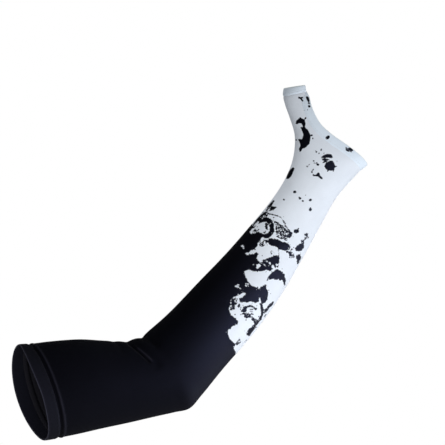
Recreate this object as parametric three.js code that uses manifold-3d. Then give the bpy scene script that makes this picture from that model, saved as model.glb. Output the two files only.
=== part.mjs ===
// A compression arm sleeve with a thumb hole, in the bent shape that it has when worn.
// One knitted tube runs in six stretches from its wide end over the elbow to its hand end and thumb stall.
// Folded hems finish its three openings: the biceps opening, the hand opening and the thumb opening.
// Millimetres. The sleeve bends in the XZ plane, +Z is up, and -Y is its front.
// The origin is the middle of the biceps opening.
import * as THREE from "three";
import { LoftGeometry } from "three/addons/geometries/LoftGeometry.js";
import { mergeVertices } from "three/addons/utils/BufferGeometryUtils.js";
import Module from "manifold-3d";

// Driving dimensions
const KNIT = 1.2; // thickness of one layer of the stretch knit
const HEM_PROUD = 0.5; // how far a folded hem stands out on each face of the knit
const HAND_HEM = 10; // width of the hem round the hand opening
const SEAM_GAP = 0.3; // free space between a hem and the knit it is sewn to
const BICEPS_BOW = { front: 2, back: 4.5 }; // how far the biceps edge stands out at the front and the back
const BICEPS_LEAN = { crook: 6, elbow: 2 }; // how far its front leans out near the crook and in near the elbow
const COLUMNS = 36; // facets round the sleeve
const ROWS_PER_SECTION = 3; // facets along the sleeve between two sections

// Finishes of the knit, left black and printed white
const KNIT_BLACK = { color: 0x14141a, roughness: 0.75, metalness: 0 };
const KNIT_WHITE = { color: 0xe4eaf2, roughness: 0.75, metalness: 0 };

// Sections of the sleeve, in order from the biceps opening to the thumb opening.
// crook and elbow are the outline's two sides: over the crook and thumb stall, and under the elbow.
// depth is the thickness from front to back, and back is how far the middle lies behind the sleeve's plane.
const SECTIONS = [
  { place: "biceps edge", crookX: -10, crookZ: 50.5, elbowX: 15.5, elbowZ: -49.5, depth: 102, back: 0 },
  { place: "biceps seam", crookX: 1, crookZ: 51, elbowX: 31.5, elbowZ: -47, depth: 99, back: 0 },
  { place: "armpit side", crookX: 23, crookZ: 53.5, elbowX: 51, elbowZ: -43.5, depth: 97, back: 0 },
  { place: "biceps", crookX: 55.5, crookZ: 55.5, elbowX: 77, elbowZ: -38, depth: 93, back: 0 },
  { place: "above elbow", crookX: 81.5, crookZ: 54, elbowX: 107.5, elbowZ: -32, depth: 88, back: 0 },
  { place: "crook start", crookX: 101, crookZ: 53.5, elbowX: 138, elbowZ: -25.5, depth: 86, back: 0 },
  { place: "crook", crookX: 116, crookZ: 56, elbowX: 157.5, elbowZ: -21.5, depth: 86, back: 0 },
  { place: "elbow point", crookX: 124, crookZ: 58.5, elbowX: 172.5, elbowZ: -18, depth: 86, back: 0 },
  { place: "below elbow", crookX: 133.5, crookZ: 66, elbowX: 185, elbowZ: -5, depth: 85, back: 0 },
  { place: "forearm top", crookX: 153.5, crookZ: 83, elbowX: 208, elbowZ: 22, depth: 82, back: 0 },
  { place: "forearm", crookX: 186, crookZ: 115.5, elbowX: 242, elbowZ: 59.5, depth: 76, back: 0 },
  { place: "forearm middle", crookX: 216, crookZ: 145.5, elbowX: 270.5, elbowZ: 96.5, depth: 68, back: 0 },
  { place: "forearm low", crookX: 241, crookZ: 173, elbowX: 297, elbowZ: 139, depth: 58, back: 0 },
  { place: "above wrist", crookX: 263, crookZ: 198.5, elbowX: 318.5, elbowZ: 176, depth: 49, back: 0 },
  { place: "wrist", crookX: 278, crookZ: 220, elbowX: 335.5, elbowZ: 204, depth: 45, back: 0 },
  { place: "hand heel", crookX: 286.5, crookZ: 238.5, elbowX: 357.5, elbowZ: 228, depth: 44, back: 0 },
  { place: "hand", crookX: 290, crookZ: 255.5, elbowX: 375.5, elbowZ: 247.5, depth: 42, back: 0 },
  { place: "thumb root", crookX: 290.5, crookZ: 270.5, elbowX: 358, elbowZ: 277, depth: 38, back: 2 },
  { place: "thumb", crookX: 286.5, crookZ: 287, elbowX: 324.5, elbowZ: 298, depth: 31, back: 5 },
  { place: "thumb web", crookX: 282, crookZ: 301.5, elbowX: 309, elbowZ: 308.5, depth: 25, back: 8 },
  { place: "thumb seam", crookX: 280.5, crookZ: 310.5, elbowX: 305, elbowZ: 316, depth: 22.5, back: 10 },
  { place: "thumb edge", crookX: 282, crookZ: 319, elbowX: 304, elbowZ: 322.5, depth: 21, back: 12 },
];

// Creases that the bend presses into the crook, each a line in the sleeve's plane, on both faces.
const CREASES = [
  { place: "long crease", fromX: 100, fromZ: 59, toX: 126, toZ: 31.5, sink: 1.6, breadth: 4.5 },
  { place: "short crease", fromX: 120, fromZ: 62, toX: 129, toZ: 50, sink: 1.4, breadth: 3.5 },
];

// Stretches of the knitted tube, each between two sections.
const STRETCHES = [
  { name: "upper_arm", from: "biceps seam", to: "above elbow", finish: KNIT_BLACK },
  { name: "elbow", from: "above elbow", to: "below elbow", finish: KNIT_BLACK },
  { name: "forearm_top", from: "below elbow", to: "forearm", finish: KNIT_BLACK },
  { name: "forearm_low", from: "forearm", to: "forearm low", finish: KNIT_BLACK },
  { name: "wrist", from: "forearm low", to: "hand heel", finish: KNIT_WHITE },
];
const HAND_STRETCH = { name: "hand", from: "hand heel", to: "thumb seam", finish: KNIT_WHITE };

// The free edge of the hand opening, from past its low corner to past the web of the thumb stall.
const HAND_EDGE = [
  { x: 386, z: 222 },
  { x: 368, z: 239 },
  { x: 354.5, z: 250 },
  { x: 339.5, z: 260.5 },
  { x: 325, z: 270.5 },
  { x: 313.5, z: 282 },
  { x: 307, z: 297.5 },
  { x: 307, z: 309.5 },
  { x: 309.5, z: 324 },
];
const HAND_EDGE_STEPS = 40;
const PRISM_REACH = { x: 430, y: 70, z: 360 }; // past every face of the sleeve

const wasm = await Module();
wasm.setup();

const lastSection = SECTIONS.length - 1;
const sectionIndex = (place) => SECTIONS.findIndex((section) => section.place === place);

// A smooth curve through one value or place of every section, read by a section's number.
function alongSleeve(pick) {
  const curve = new THREE.CatmullRomCurve3(SECTIONS.map(pick), false, "centripetal");
  return (at) => curve.getPoint(at / lastSection);
}

const crookLine = alongSleeve((s) => new THREE.Vector3(s.crookX, s.back, s.crookZ));
const elbowLine = alongSleeve((s) => new THREE.Vector3(s.elbowX, s.back, s.elbowZ));
const depthLine = alongSleeve((s) => new THREE.Vector3(0, s.depth, 0));

// How far the creases draw the knit in at a place in the sleeve's plane.
function creaseAt(point) {
  const flat = new THREE.Vector3(point.x, 0, point.z);
  let sink = 0;
  for (const crease of CREASES) {
    const line = new THREE.Line3(
      new THREE.Vector3(crease.fromX, 0, crease.fromZ),
      new THREE.Vector3(crease.toX, 0, crease.toZ),
    );
    const away = line.closestPointToPoint(flat, true, new THREE.Vector3()).distanceTo(flat);
    sink += crease.sink * Math.exp(-((away / crease.breadth) ** 2));
  }
  return sink;
}

// One ring of points round the sleeve, grown outwards by a thickness, or inwards where it is negative.
function ring(at, grow) {
  const crook = crookLine(at);
  const elbow = elbowLine(at);
  const middle = crook.clone().add(elbow).divideScalar(2);
  const halfWidth = crook.distanceTo(elbow) / 2;
  const across = elbow.clone().sub(crook).normalize();
  const halfDepth = depthLine(at).y / 2;
  const nearEdge = Math.max(0, 1 - at);
  const endwards = new THREE.Vector3(across.z, 0, -across.x);
  return Array.from({ length: COLUMNS }, (_, column) => {
    const angle = (column / COLUMNS) * 2 * Math.PI;
    const cos = Math.cos(angle);
    const sin = Math.sin(angle);
    const face = middle.clone().addScaledVector(across, halfWidth * cos);
    face.y += halfDepth * sin;
    const bow = (sin < 0 ? BICEPS_BOW.front : BICEPS_BOW.back) * sin ** 2;
    const lean = (cos < 0 ? BICEPS_LEAN.crook : BICEPS_LEAN.elbow) * cos * Math.min(sin, 0);
    face.addScaledVector(endwards, nearEdge * (bow + lean));
    const out = across.clone().multiplyScalar(cos / halfWidth);
    out.y += sin / halfDepth;
    return face.addScaledVector(out.normalize(), grow - creaseAt(face));
  });
}

// A hollow stretch of the sleeve between two sections, open at both ends.
function tubeWall(start, end, outside, inside) {
  const rows = Math.ceil((end - start) * ROWS_PER_SECTION);
  const stops = Array.from({ length: rows + 1 }, (_, row) => start + ((end - start) * row) / rows);
  const outer = stops.map((at) => ring(at, outside));
  const inner = stops.map((at) => ring(at, inside)).reverse();
  return new LoftGeometry([...outer, ...inner, outer[0]]);
}

// The line of the hand opening's free edge, moved onto the sleeve by a width.
function handLine(width) {
  const curve = new THREE.SplineCurve(HAND_EDGE.map((p) => new THREE.Vector2(p.x, p.z)));
  return Array.from({ length: HAND_EDGE_STEPS + 1 }, (_, step) => {
    const u = step / HAND_EDGE_STEPS;
    const along = curve.getTangentAt(u);
    return curve.getPointAt(u).add(new THREE.Vector2(-along.y, along.x).multiplyScalar(width));
  });
}

// A flat outline in the sleeve's plane, pushed through the whole depth of the sleeve.
function throughSleeve(outline) {
  const prism = new THREE.ExtrudeGeometry(new THREE.Shape(outline), {
    depth: 2 * PRISM_REACH.y,
    bevelEnabled: false,
  });
  return prism.rotateX(Math.PI / 2).translate(0, PRISM_REACH.y, 0);
}

// Everything past a line that lies a width in from the hand opening's free edge.
function beyondHandLine(width) {
  const line = handLine(width);
  const far = [
    new THREE.Vector2(PRISM_REACH.x, PRISM_REACH.z),
    new THREE.Vector2(PRISM_REACH.x, line[0].y),
  ];
  return throughSleeve([...line, new THREE.Vector2(line.at(-1).x, PRISM_REACH.z), ...far]);
}

// A closed geometry as a solid that can be joined and cut.
function solidOf(geometry) {
  const bare = new THREE.BufferGeometry().copy(geometry);
  bare.deleteAttribute("normal");
  bare.deleteAttribute("uv");
  const merged = mergeVertices(bare);
  return new wasm.Manifold(
    new wasm.Mesh({
      numProp: 3,
      vertProperties: merged.getAttribute("position").array,
      triVerts: new Uint32Array(merged.index.array),
    }),
  );
}

// A solid as a geometry that can be shown.
function geometryOf(solid) {
  const mesh = solid.getMesh();
  const geometry = new THREE.BufferGeometry();
  geometry.setAttribute("position", new THREE.BufferAttribute(mesh.vertProperties, 3));
  geometry.setIndex(new THREE.BufferAttribute(mesh.triVerts, 1));
  geometry.computeVertexNormals();
  return geometry;
}

function piece(name, geometry, finish) {
  const mesh = new THREE.Mesh(geometry, new THREE.MeshStandardMaterial(finish));
  mesh.name = name;
  return mesh;
}

// The section number that lies half a seam gap past a section, on the side of the next or the last one.
function besideSeam(place, side) {
  const at = sectionIndex(place);
  const length = Math.min(
    crookLine(at).distanceTo(crookLine(at + side)),
    elbowLine(at).distanceTo(elbowLine(at + side)),
  );
  return at + (side * SEAM_GAP) / (2 * length);
}

// One stretch of the knitted tube, clear of its neighbours by the seam gap.
function stretchWall(stretch) {
  return tubeWall(besideSeam(stretch.from, 1), besideSeam(stretch.to, -1), 0, -KNIT);
}

// The stretch at the hand end, which narrows into the thumb stall where the hand opening is cut out.
function handWall() {
  const cut = solidOf(beyondHandLine(HAND_HEM + SEAM_GAP));
  return geometryOf(solidOf(stretchWall(HAND_STRETCH)).subtract(cut));
}

// A folded hem round a whole opening, a little thicker than the knit on both faces.
function roundHem(start, end) {
  return tubeWall(start, end, HEM_PROUD, -KNIT - HEM_PROUD);
}

// The folded hem round the hand opening, which follows the free edge and closes on itself at the stall's web.
function handHem() {
  const start = sectionIndex("above wrist");
  const band = solidOf(roundHem(start, besideSeam("thumb seam", -1)));
  const beyondSeam = solidOf(beyondHandLine(HAND_HEM));
  const beyondEdge = solidOf(beyondHandLine(0));
  return geometryOf(band.intersect(beyondSeam).subtract(beyondEdge));
}

const sleeve = new THREE.Group();
for (const stretch of STRETCHES) {
  sleeve.add(piece(stretch.name, stretchWall(stretch), stretch.finish));
}
sleeve.add(piece(HAND_STRETCH.name, handWall(), HAND_STRETCH.finish));
sleeve.add(piece("biceps_hem", roundHem(0, besideSeam("biceps seam", -1)), KNIT_BLACK));
sleeve.add(piece("hand_hem", handHem(), KNIT_WHITE));
sleeve.add(piece("thumb_hem", roundHem(besideSeam("thumb seam", 1), lastSection), KNIT_WHITE));

export default sleeve;
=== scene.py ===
"""Dresses the thumb-hole arm sleeve: the printed knit tube, its three folded hems and their stitches."""
import logging
import math
from dataclasses import dataclass, field
from enum import Enum

import bpy
import numpy as np
from mathutils import Matrix, Vector


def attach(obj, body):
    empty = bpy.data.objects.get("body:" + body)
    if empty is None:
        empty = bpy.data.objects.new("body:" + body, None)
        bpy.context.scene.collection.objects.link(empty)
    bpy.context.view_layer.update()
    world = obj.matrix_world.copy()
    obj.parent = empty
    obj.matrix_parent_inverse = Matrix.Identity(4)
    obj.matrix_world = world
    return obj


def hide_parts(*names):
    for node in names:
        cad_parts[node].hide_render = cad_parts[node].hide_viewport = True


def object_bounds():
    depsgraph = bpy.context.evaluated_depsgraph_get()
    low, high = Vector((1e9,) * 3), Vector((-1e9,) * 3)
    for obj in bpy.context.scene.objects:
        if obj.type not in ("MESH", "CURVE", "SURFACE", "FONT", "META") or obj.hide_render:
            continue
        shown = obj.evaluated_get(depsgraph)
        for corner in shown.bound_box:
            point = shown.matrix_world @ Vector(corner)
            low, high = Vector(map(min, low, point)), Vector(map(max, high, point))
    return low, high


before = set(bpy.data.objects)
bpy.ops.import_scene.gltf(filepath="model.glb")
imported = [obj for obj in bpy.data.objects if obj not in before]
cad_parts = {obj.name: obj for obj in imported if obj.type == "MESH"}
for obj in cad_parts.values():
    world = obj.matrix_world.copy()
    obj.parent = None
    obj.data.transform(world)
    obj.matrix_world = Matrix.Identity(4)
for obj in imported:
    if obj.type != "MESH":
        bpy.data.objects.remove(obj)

CAD_BOX = [list(corner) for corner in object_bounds()]
LOG = logging.getLogger("arm_sleeve")
MM = 0.001
VIEW_TURN = math.radians(16.5)
BODY = "root"
TINY = 1e-6

Pair = tuple[float, float]
Colour = tuple[float, float, float, float]
Line = tuple[np.ndarray, np.ndarray]
Socket = bpy.types.NodeSocket


class Cover(Enum):
    """What a blot of the print lays over what is under it."""

    INK = 1.0
    BARE = -1.0


@dataclass(frozen=True)
class Section:
    """One section of the worn sleeve, in millimetres, from its crook side to its elbow side."""

    place: str
    crook_x: float
    crook_z: float
    elbow_x: float
    elbow_z: float
    depth: float
    back: float = 0.0


@dataclass(frozen=True)
class Crease:
    """A fold pressed into the knit at the crook, as a line in the plane of the bend, in millimetres."""

    start: Pair
    end: Pair
    sink: float
    breadth: float


@dataclass(frozen=True)
class ChartGrid:
    """The squares that the print is charted on, one to a pixel of the photo's 445 by 445 frame.

    They are counted to the right and downwards. The middle one lies at x and z on the sleeve's front, in
    millimetres.
    """

    middle_column: float = 222.5
    middle_row: float = 222.5
    x: float = 210.3
    z: float = 177.2
    square_wide: float = 1.095
    square_high: float = 1.05
    square: float = 1.07
    finest: float = 0.43

    def places(self, spots: tuple[Pair, ...]) -> tuple[Pair, ...]:
        """Gives the places of charted spots on the sleeve's front, across and up, in millimetres."""
        return tuple(
            (
                self.x + (column - self.middle_column) * self.square_wide,
                self.z - (row - self.middle_row) * self.square_high,
            )
            for column, row in spots
        )

    def half(self, squares: float) -> float:
        """Gives a charted half width in millimetres, never finer than the knit can hold."""
        return max(squares * self.square, self.finest)


CHART = ChartGrid()


@dataclass(frozen=True)
class Blot:
    """One drop of the print, an ellipse in chart squares and degrees."""

    column: float
    row: float
    half_long: float
    half_wide: float
    turn: float = 0.0

    def depth_in(self, x: np.ndarray, z: np.ndarray) -> np.ndarray:
        """Measures how far places lie inside the drop.

        Args:
            x: places across the chart.
            z: places up the chart.

        Returns:
            Millimetres inside the drop's edge, negative outside it.
        """
        ((middle_x, middle_z),) = CHART.places(((self.column, self.row),))
        long, wide = CHART.half(self.half_long), CHART.half(self.half_wide)
        cos, sin = math.cos(math.radians(self.turn)), math.sin(math.radians(self.turn))
        along = (x - middle_x) * cos + (z - middle_z) * sin
        aside = (z - middle_z) * cos - (x - middle_x) * sin
        reach = np.hypot(along / long, aside / wide) + TINY
        slope = np.hypot(along / long**2, aside / wide**2) + TINY
        return (1.0 - reach) * reach / slope


@dataclass(frozen=True)
class Thread:
    """A thin run of ink along a line of spots, in chart squares."""

    spots: tuple[Pair, ...]
    half_wide: float

    def depth_in(self, x: np.ndarray, z: np.ndarray) -> np.ndarray:
        """Measures how far places lie inside the run.

        Args:
            x: places across the chart.
            z: places up the chart.

        Returns:
            Millimetres inside the run's edge, negative outside it.
        """
        return CHART.half(self.half_wide) - distance_to_line(x, z, CHART.places(self.spots))


@dataclass(frozen=True)
class Patch:
    """A patch of the print inside a closed outline, in chart squares."""

    outline: tuple[Pair, ...]

    def depth_in(self, x: np.ndarray, z: np.ndarray) -> np.ndarray:
        """Measures how far places lie inside the patch.

        Args:
            x: places across the chart.
            z: places up the chart.

        Returns:
            Millimetres inside the patch's edge, negative outside it.
        """
        outline = CHART.places(self.outline)
        away = distance_to_line(x, z, (*outline, outline[0]))
        return np.where(inside_outline(x, z, outline), away, -away)


def distance_to_line(x: np.ndarray, z: np.ndarray, line: tuple[Pair, ...]) -> np.ndarray:
    """Measures how far places are from a line of straight steps.

    Args:
        x: places across.
        z: places up.
        line: the ends of the steps, in order.

    Returns:
        The shortest distance of each place.
    """
    nearest = np.full(np.shape(x), np.inf)
    for (ax, az), (bx, bz) in zip(line, line[1:]):
        length = (bx - ax) ** 2 + (bz - az) ** 2
        share = np.clip(((x - ax) * (bx - ax) + (z - az) * (bz - az)) / length, 0.0, 1.0)
        nearest = np.minimum(nearest, np.hypot(x - ax - share * (bx - ax), z - az - share * (bz - az)))
    return nearest


def inside_outline(x: np.ndarray, z: np.ndarray, outline: tuple[Pair, ...]) -> np.ndarray:
    """Tells which places lie inside a closed outline.

    Args:
        x: places across.
        z: places up.
        outline: the corners of the outline, in order.

    Returns:
        True for each place inside.
    """
    inside = np.zeros(np.shape(x), dtype=bool)
    for (ax, az), (bx, bz) in zip(outline, (*outline[1:], outline[0])):
        if az == bz:
            continue
        crosses = (az > z) != (bz > z)
        inside ^= crosses & (x < ax + (z - az) / (bz - az) * (bx - ax))
    return inside


def smooth_step(value: np.ndarray, low: float, high: float) -> np.ndarray:
    """Rises smoothly from 0 at low to 1 at high, or falls where high is the smaller.

    Args:
        value: the values to read.
        low: where the rise begins.
        high: where the rise ends.

    Returns:
        The height at each value.
    """
    share = np.clip((value - low) / (high - low), 0.0, 1.0)
    return share * share * (3.0 - 2.0 * share)


def bell(away: np.ndarray, breadth: float) -> np.ndarray:
    """Gives the height of a smooth hump, 1 in its middle, at distances from it."""
    return np.exp(-((away / breadth) ** 2))


def turn_from_front(angle: np.ndarray) -> np.ndarray:
    """Gives how far round from the front angles lie, from -pi to pi."""
    return (angle + math.pi / 2 + math.pi) % (2 * math.pi) - math.pi


SECTIONS: tuple[Section, ...] = (
    Section("biceps edge", -10, 50.5, 15.5, -49.5, 102),
    Section("biceps seam", 1, 51, 31.5, -47, 99),
    Section("below seam", 23, 53.5, 51, -43.5, 97),
    Section("biceps", 55.5, 55.5, 77, -38, 93),
    Section("above elbow", 81.5, 54, 107.5, -32, 88),
    Section("crook start", 101, 53.5, 138, -25.5, 86),
    Section("crook", 116, 56, 157.5, -21.5, 86),
    Section("elbow point", 124, 58.5, 172.5, -18, 86),
    Section("below elbow", 133.5, 66, 185, -5, 85),
    Section("forearm top", 153.5, 83, 208, 22, 82),
    Section("forearm", 186, 115.5, 242, 59.5, 76),
    Section("forearm middle", 216, 145.5, 270.5, 96.5, 68),
    Section("forearm low", 241, 173, 297, 139, 58),
    Section("above wrist", 263, 198.5, 318.5, 176, 49),
    Section("wrist", 278, 220, 335.5, 204, 45),
    Section("hand heel", 286.5, 238.5, 357.5, 228, 44),
    Section("hand", 290, 255.5, 375.5, 247.5, 42),
    Section("thumb root", 290.5, 270.5, 358, 277, 38, 2),
    Section("thumb", 286.5, 287, 324.5, 298, 31, 5),
    Section("stall root", 282, 301.5, 309, 308.5, 25, 8),
    Section("thumb seam", 280.5, 310.5, 305, 316, 22.5, 10),
    Section("thumb edge", 282, 319, 304, 322.5, 21, 12),
)

CREASES: tuple[Crease, ...] = (
    Crease((102, 58.5), (127, 30.5), 1.6, 4.5),
    Crease((120, 62), (129, 50), 1.4, 3.5),
    Crease((105, 50.5), (119, 33.9), 2.0, 2.0),
    Crease((108.9, 48.4), (121.9, 34.6), -1.7, 1.1),
    Crease((90, 60), (93, 44), 0.7, 3.5),
)
# The crease's crest, drawn lighter on the front as a painted highlight.
CREST_HIGHLIGHT: tuple[Pair, ...] = ((111.9, 45.8), (122.1, 34.6))

HAND_EDGE: tuple[Pair, ...] = (
    (386, 222), (368, 239), (354.5, 250), (339.5, 260.5), (325, 270.5),
    (313.5, 282), (307, 297.5), (307, 309.5), (309.5, 324),
)

BICEPS_SEAM = 1.0
THUMB_SEAM = 20.0
BICEPS_HEM: Pair = (0.88, 0.0)
THUMB_HEM: Pair = (20.02, 21.0)
HAND_SEARCH: Pair = (13.0, 20.6)
HAND_SEAM_LIMIT = 20.12
HAND_EDGE_LIMIT = 20.05
HAND_HEM_WIDTH = 10.0
BICEPS_COLUMNS = 120
HAND_COLUMNS = 240
THUMB_COLUMNS = 72


@dataclass(frozen=True)
class OpeningEdge:
    """How the biceps edge bows and leans out of its flat ring, in millimetres."""

    front_bow: float = 2.0
    back_bow: float = 4.5
    crook_lean: float = 6.0
    elbow_lean: float = 2.0

    def shift(self, cos: np.ndarray, sin: np.ndarray) -> np.ndarray:
        """Gives how far the edge is moved along the sleeve.

        Args:
            cos: cosines of the angles round the ring.
            sin: sines of the angles round the ring.

        Returns:
            Millimetres out of the opening.
        """
        lean = np.where(cos < 0, self.crook_lean, self.elbow_lean) * cos * sin
        bow = np.where(sin < 0, self.front_bow, self.back_bow) * sin**2
        return bow + np.where(sin < 0, lean, 0.0)


BICEPS_EDGE = OpeningEdge()


class SleeveForm:
    """The worn sleeve's form: rings along its length, read by a section's number and an angle."""

    length_steps: int = 40
    chart_steps: int = 10
    chart_turns: int = 361
    chart_margin: float = 1.001
    find_steps: int = 1200
    least_roll: float = 0.42
    shortest: float = 1e-4

    def __init__(self, sections: tuple[Section, ...], creases: tuple[Crease, ...]) -> None:
        """Prepares the smooth lines along the sleeve.

        Args:
            sections: the sections in order, from the biceps opening to the thumb opening.
            creases: the folds at the crook.
        """
        self.last = len(sections) - 1
        self.creases = creases
        self.crook = self._smooth_line(np.array([(s.crook_x, s.back, s.crook_z) for s in sections], float))
        self.elbow = self._smooth_line(np.array([(s.elbow_x, s.back, s.elbow_z) for s in sections], float))
        self.depth = self._smooth_line(np.array([(0.0, s.depth, 0.0) for s in sections], float))
        stops = self._even_stops(self.length_steps)
        middle = (self._read(self.crook, stops) + self._read(self.elbow, stops)) / 2
        steps = np.linalg.norm(np.diff(middle, axis=0), axis=1)
        self.length_stops = stops
        self.lengths = np.concatenate(([0.0], np.cumsum(steps)))
        self._chart = self._unroll_chart()

    def _even_stops(self, steps: int) -> np.ndarray:
        """Spaces section numbers evenly, with so many steps from each section to the next."""
        return np.linspace(0, self.last, steps * self.last + 1)

    @classmethod
    def _smooth_line(cls, knots: np.ndarray) -> np.ndarray:
        """Fits a centripetal curve through knots.

        Args:
            knots: one place a section.

        Returns:
            Four factors of a cubic for every stretch between two sections.
        """
        padded = np.vstack((2 * knots[0] - knots[1], knots, 2 * knots[-1] - knots[-2]))
        stretches = []
        for p0, p1, p2, p3 in zip(padded, padded[1:], padded[2:], padded[3:]):
            steps = ((p0, p1), (p1, p2), (p2, p3))
            d0, d1, d2 = (float(np.sum((b - a) ** 2)) ** 0.25 for a, b in steps)
            d1 = d1 if d1 >= cls.shortest else 1.0
            d0 = d0 if d0 >= cls.shortest else d1
            d2 = d2 if d2 >= cls.shortest else d1
            t1 = ((p1 - p0) / d0 - (p2 - p0) / (d0 + d1) + (p2 - p1) / d1) * d1
            t2 = ((p2 - p1) / d1 - (p3 - p1) / (d1 + d2) + (p3 - p2) / d2) * d1
            stretches.append((p1, t1, -3 * p1 + 3 * p2 - 2 * t1 - t2, 2 * p1 - 2 * p2 + t1 + t2))
        return np.array(stretches)

    @staticmethod
    def _read(line: np.ndarray, at: np.ndarray) -> np.ndarray:
        """Reads a smooth line.

        Args:
            line: what _smooth_line gives.
            at: section numbers, whole or between two sections.

        Returns:
            The place at each number.
        """
        stretch = np.clip(np.floor(at).astype(int), 0, len(line) - 1)
        share = (at - stretch)[..., None]
        factors = line[stretch]
        return factors[..., 0, :] + share * (
            factors[..., 1, :] + share * (factors[..., 2, :] + share * factors[..., 3, :])
        )

    def along(self, at: np.ndarray) -> np.ndarray:
        """Gives the length of sleeve, in millimetres, from the biceps edge to section numbers."""
        return np.interp(at, self.length_stops, self.lengths)

    def at_length(self, length: np.ndarray) -> np.ndarray:
        """Gives the section numbers at lengths of sleeve from the biceps edge."""
        return np.interp(length, self.lengths, self.length_stops)

    def frame_at(self, at: np.ndarray) -> tuple[np.ndarray, np.ndarray, np.ndarray, np.ndarray]:
        """Reads the ring at section numbers.

        Args:
            at: section numbers.

        Returns:
            The ring's middle, its direction across, its half width and its half depth.
        """
        crook, elbow = self._read(self.crook, at), self._read(self.elbow, at)
        span = elbow - crook
        half_width = np.linalg.norm(span, axis=-1) / 2
        across = span / (2 * half_width[..., None])
        return (crook + elbow) / 2, across, half_width, self._read(self.depth, at)[..., 1] / 2

    def sunk(self, x: np.ndarray, z: np.ndarray) -> np.ndarray:
        """Gives how far the creases draw the knit in at places in the plane of the bend.

        Args:
            x: places across.
            z: places up.

        Returns:
            Millimetres inwards.
        """
        depth = np.zeros(np.shape(x))
        for crease in self.creases:
            away = distance_to_line(x, z, (crease.start, crease.end))
            depth += crease.sink * bell(away, crease.breadth)
        return depth

    def points(self, at: np.ndarray, angle: np.ndarray, grow: np.ndarray) -> tuple[np.ndarray, np.ndarray]:
        """Finds places on the sleeve.

        Args:
            at: section numbers.
            angle: angles round the ring, 0 on the elbow side and -90 degrees at the front, in radians.
            grow: millimetres that the place lies outside the knit's face.

        Returns:
            The places in millimetres and the outward directions.
        """
        middle, across, half_width, half_depth = self.frame_at(at)
        cos, sin = np.cos(angle), np.sin(angle)
        face = middle + across * (half_width * cos)[..., None]
        face[..., 1] += half_depth * sin
        shift = np.maximum(0.0, BICEPS_SEAM - at) * BICEPS_EDGE.shift(cos, sin)
        face[..., 0] += across[..., 2] * shift
        face[..., 2] -= across[..., 0] * shift
        out = across * (cos / half_width)[..., None]
        out[..., 1] += sin / half_depth
        out /= np.linalg.norm(out, axis=-1, keepdims=True)
        lift = grow - self.sunk(face[..., 0], face[..., 2])
        return face + out * lift[..., None], out

    def _unroll_chart(self) -> tuple[np.ndarray, np.ndarray, np.ndarray]:
        """Lays the print's chart round the sleeve: flat over the front, and rolled off over the sides.

        Returns:
            The section numbers, the angles from the front, and the chart place for each pair of them.
        """
        stops = self._even_stops(self.chart_steps)
        turns = np.radians(np.linspace(-180, 180, self.chart_turns))
        at, turn = np.meshgrid(stops, turns, indexing="ij")
        face, _ = self.points(at, turn - math.pi / 2, np.zeros(at.shape))
        flat = np.stack((face[..., 0] - face[..., 1] * math.tan(VIEW_TURN), face[..., 2]), axis=-1)
        _, across, _, _ = self.frame_at(stops)
        aim = across[:, [0, 2]] / np.linalg.norm(across[:, [0, 2]], axis=1, keepdims=True)
        front = len(turns) // 2
        offset = flat - flat[:, front : front + 1]
        sideways = np.einsum("ijk,ik->ij", offset, aim)
        rest = offset - sideways[..., None] * aim[:, None, :]
        steps = np.diff(sideways, axis=1)
        walked = np.linalg.norm(np.diff(face, axis=1), axis=-1)
        steps = np.maximum(steps, self.least_roll * walked)
        rolled = np.zeros(sideways.shape)
        rolled[:, front + 1 :] = np.cumsum(steps[:, front:], axis=1)
        rolled[:, :front] = -np.cumsum(steps[:, :front][:, ::-1], axis=1)[:, ::-1]
        chart = flat[:, front : front + 1] + rolled[..., None] * aim[:, None, :] + rest
        return stops, turns, chart

    def chart_place(self, at: np.ndarray, angle: np.ndarray) -> tuple[np.ndarray, np.ndarray]:
        """Finds where places on the sleeve lie in the print's chart.

        Args:
            at: section numbers.
            angle: angles round the ring.

        Returns:
            The places across and up the chart, in millimetres.
        """
        stops, turns, chart = self._chart
        turn = turn_from_front(angle)
        row = np.clip(at / (stops[1] - stops[0]), 0, len(stops) - self.chart_margin)
        column = np.clip((turn - turns[0]) / (turns[1] - turns[0]), 0, len(turns) - self.chart_margin)
        above, left = row.astype(int), column.astype(int)
        down, right = (row - above)[..., None], (column - left)[..., None]
        upper = chart[above, left] * (1 - right) + chart[above, left + 1] * right
        lower = chart[above + 1, left] * (1 - right) + chart[above + 1, left + 1] * right
        place = upper * (1 - down) + lower * down
        return place[..., 0], place[..., 1]

    def find(self, x: np.ndarray, z: np.ndarray, low: float, high: float) -> tuple[np.ndarray, np.ndarray]:
        """Finds the section and the share of its half width at places in the plane of the bend.

        Args:
            x: places across.
            z: places up.
            low: the first section number to look at.
            high: the last section number to look at.

        Returns:
            The section numbers, and how far towards the elbow side each place lies, 1 on the outline.
        """
        stops = np.linspace(low, high, self.find_steps)
        middle, across, half_width, _ = self.frame_at(stops)
        at, share = np.empty(len(x)), np.empty(len(x))
        for i, (px, pz) in enumerate(zip(x, z)):
            side = across[:, 0] * (pz - middle[:, 2]) - across[:, 2] * (px - middle[:, 0])
            crossed = np.flatnonzero(np.diff(np.sign(side)) != 0)
            step = int(crossed[0]) if len(crossed) else int(np.argmin(np.abs(side[:-1])))
            here, ahead = side[step], side[step + 1]
            part = float(np.clip(here / (here - ahead), 0, 1)) if here != ahead else 0.0
            at[i] = stops[step] + part * (stops[step + 1] - stops[step])
            mid, aim, half = (v[step] + part * (v[step + 1] - v[step]) for v in (middle, across, half_width))
            share[i] = ((px - mid[0]) * aim[0] + (pz - mid[2]) * aim[2]) / half
        return at, share


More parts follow.
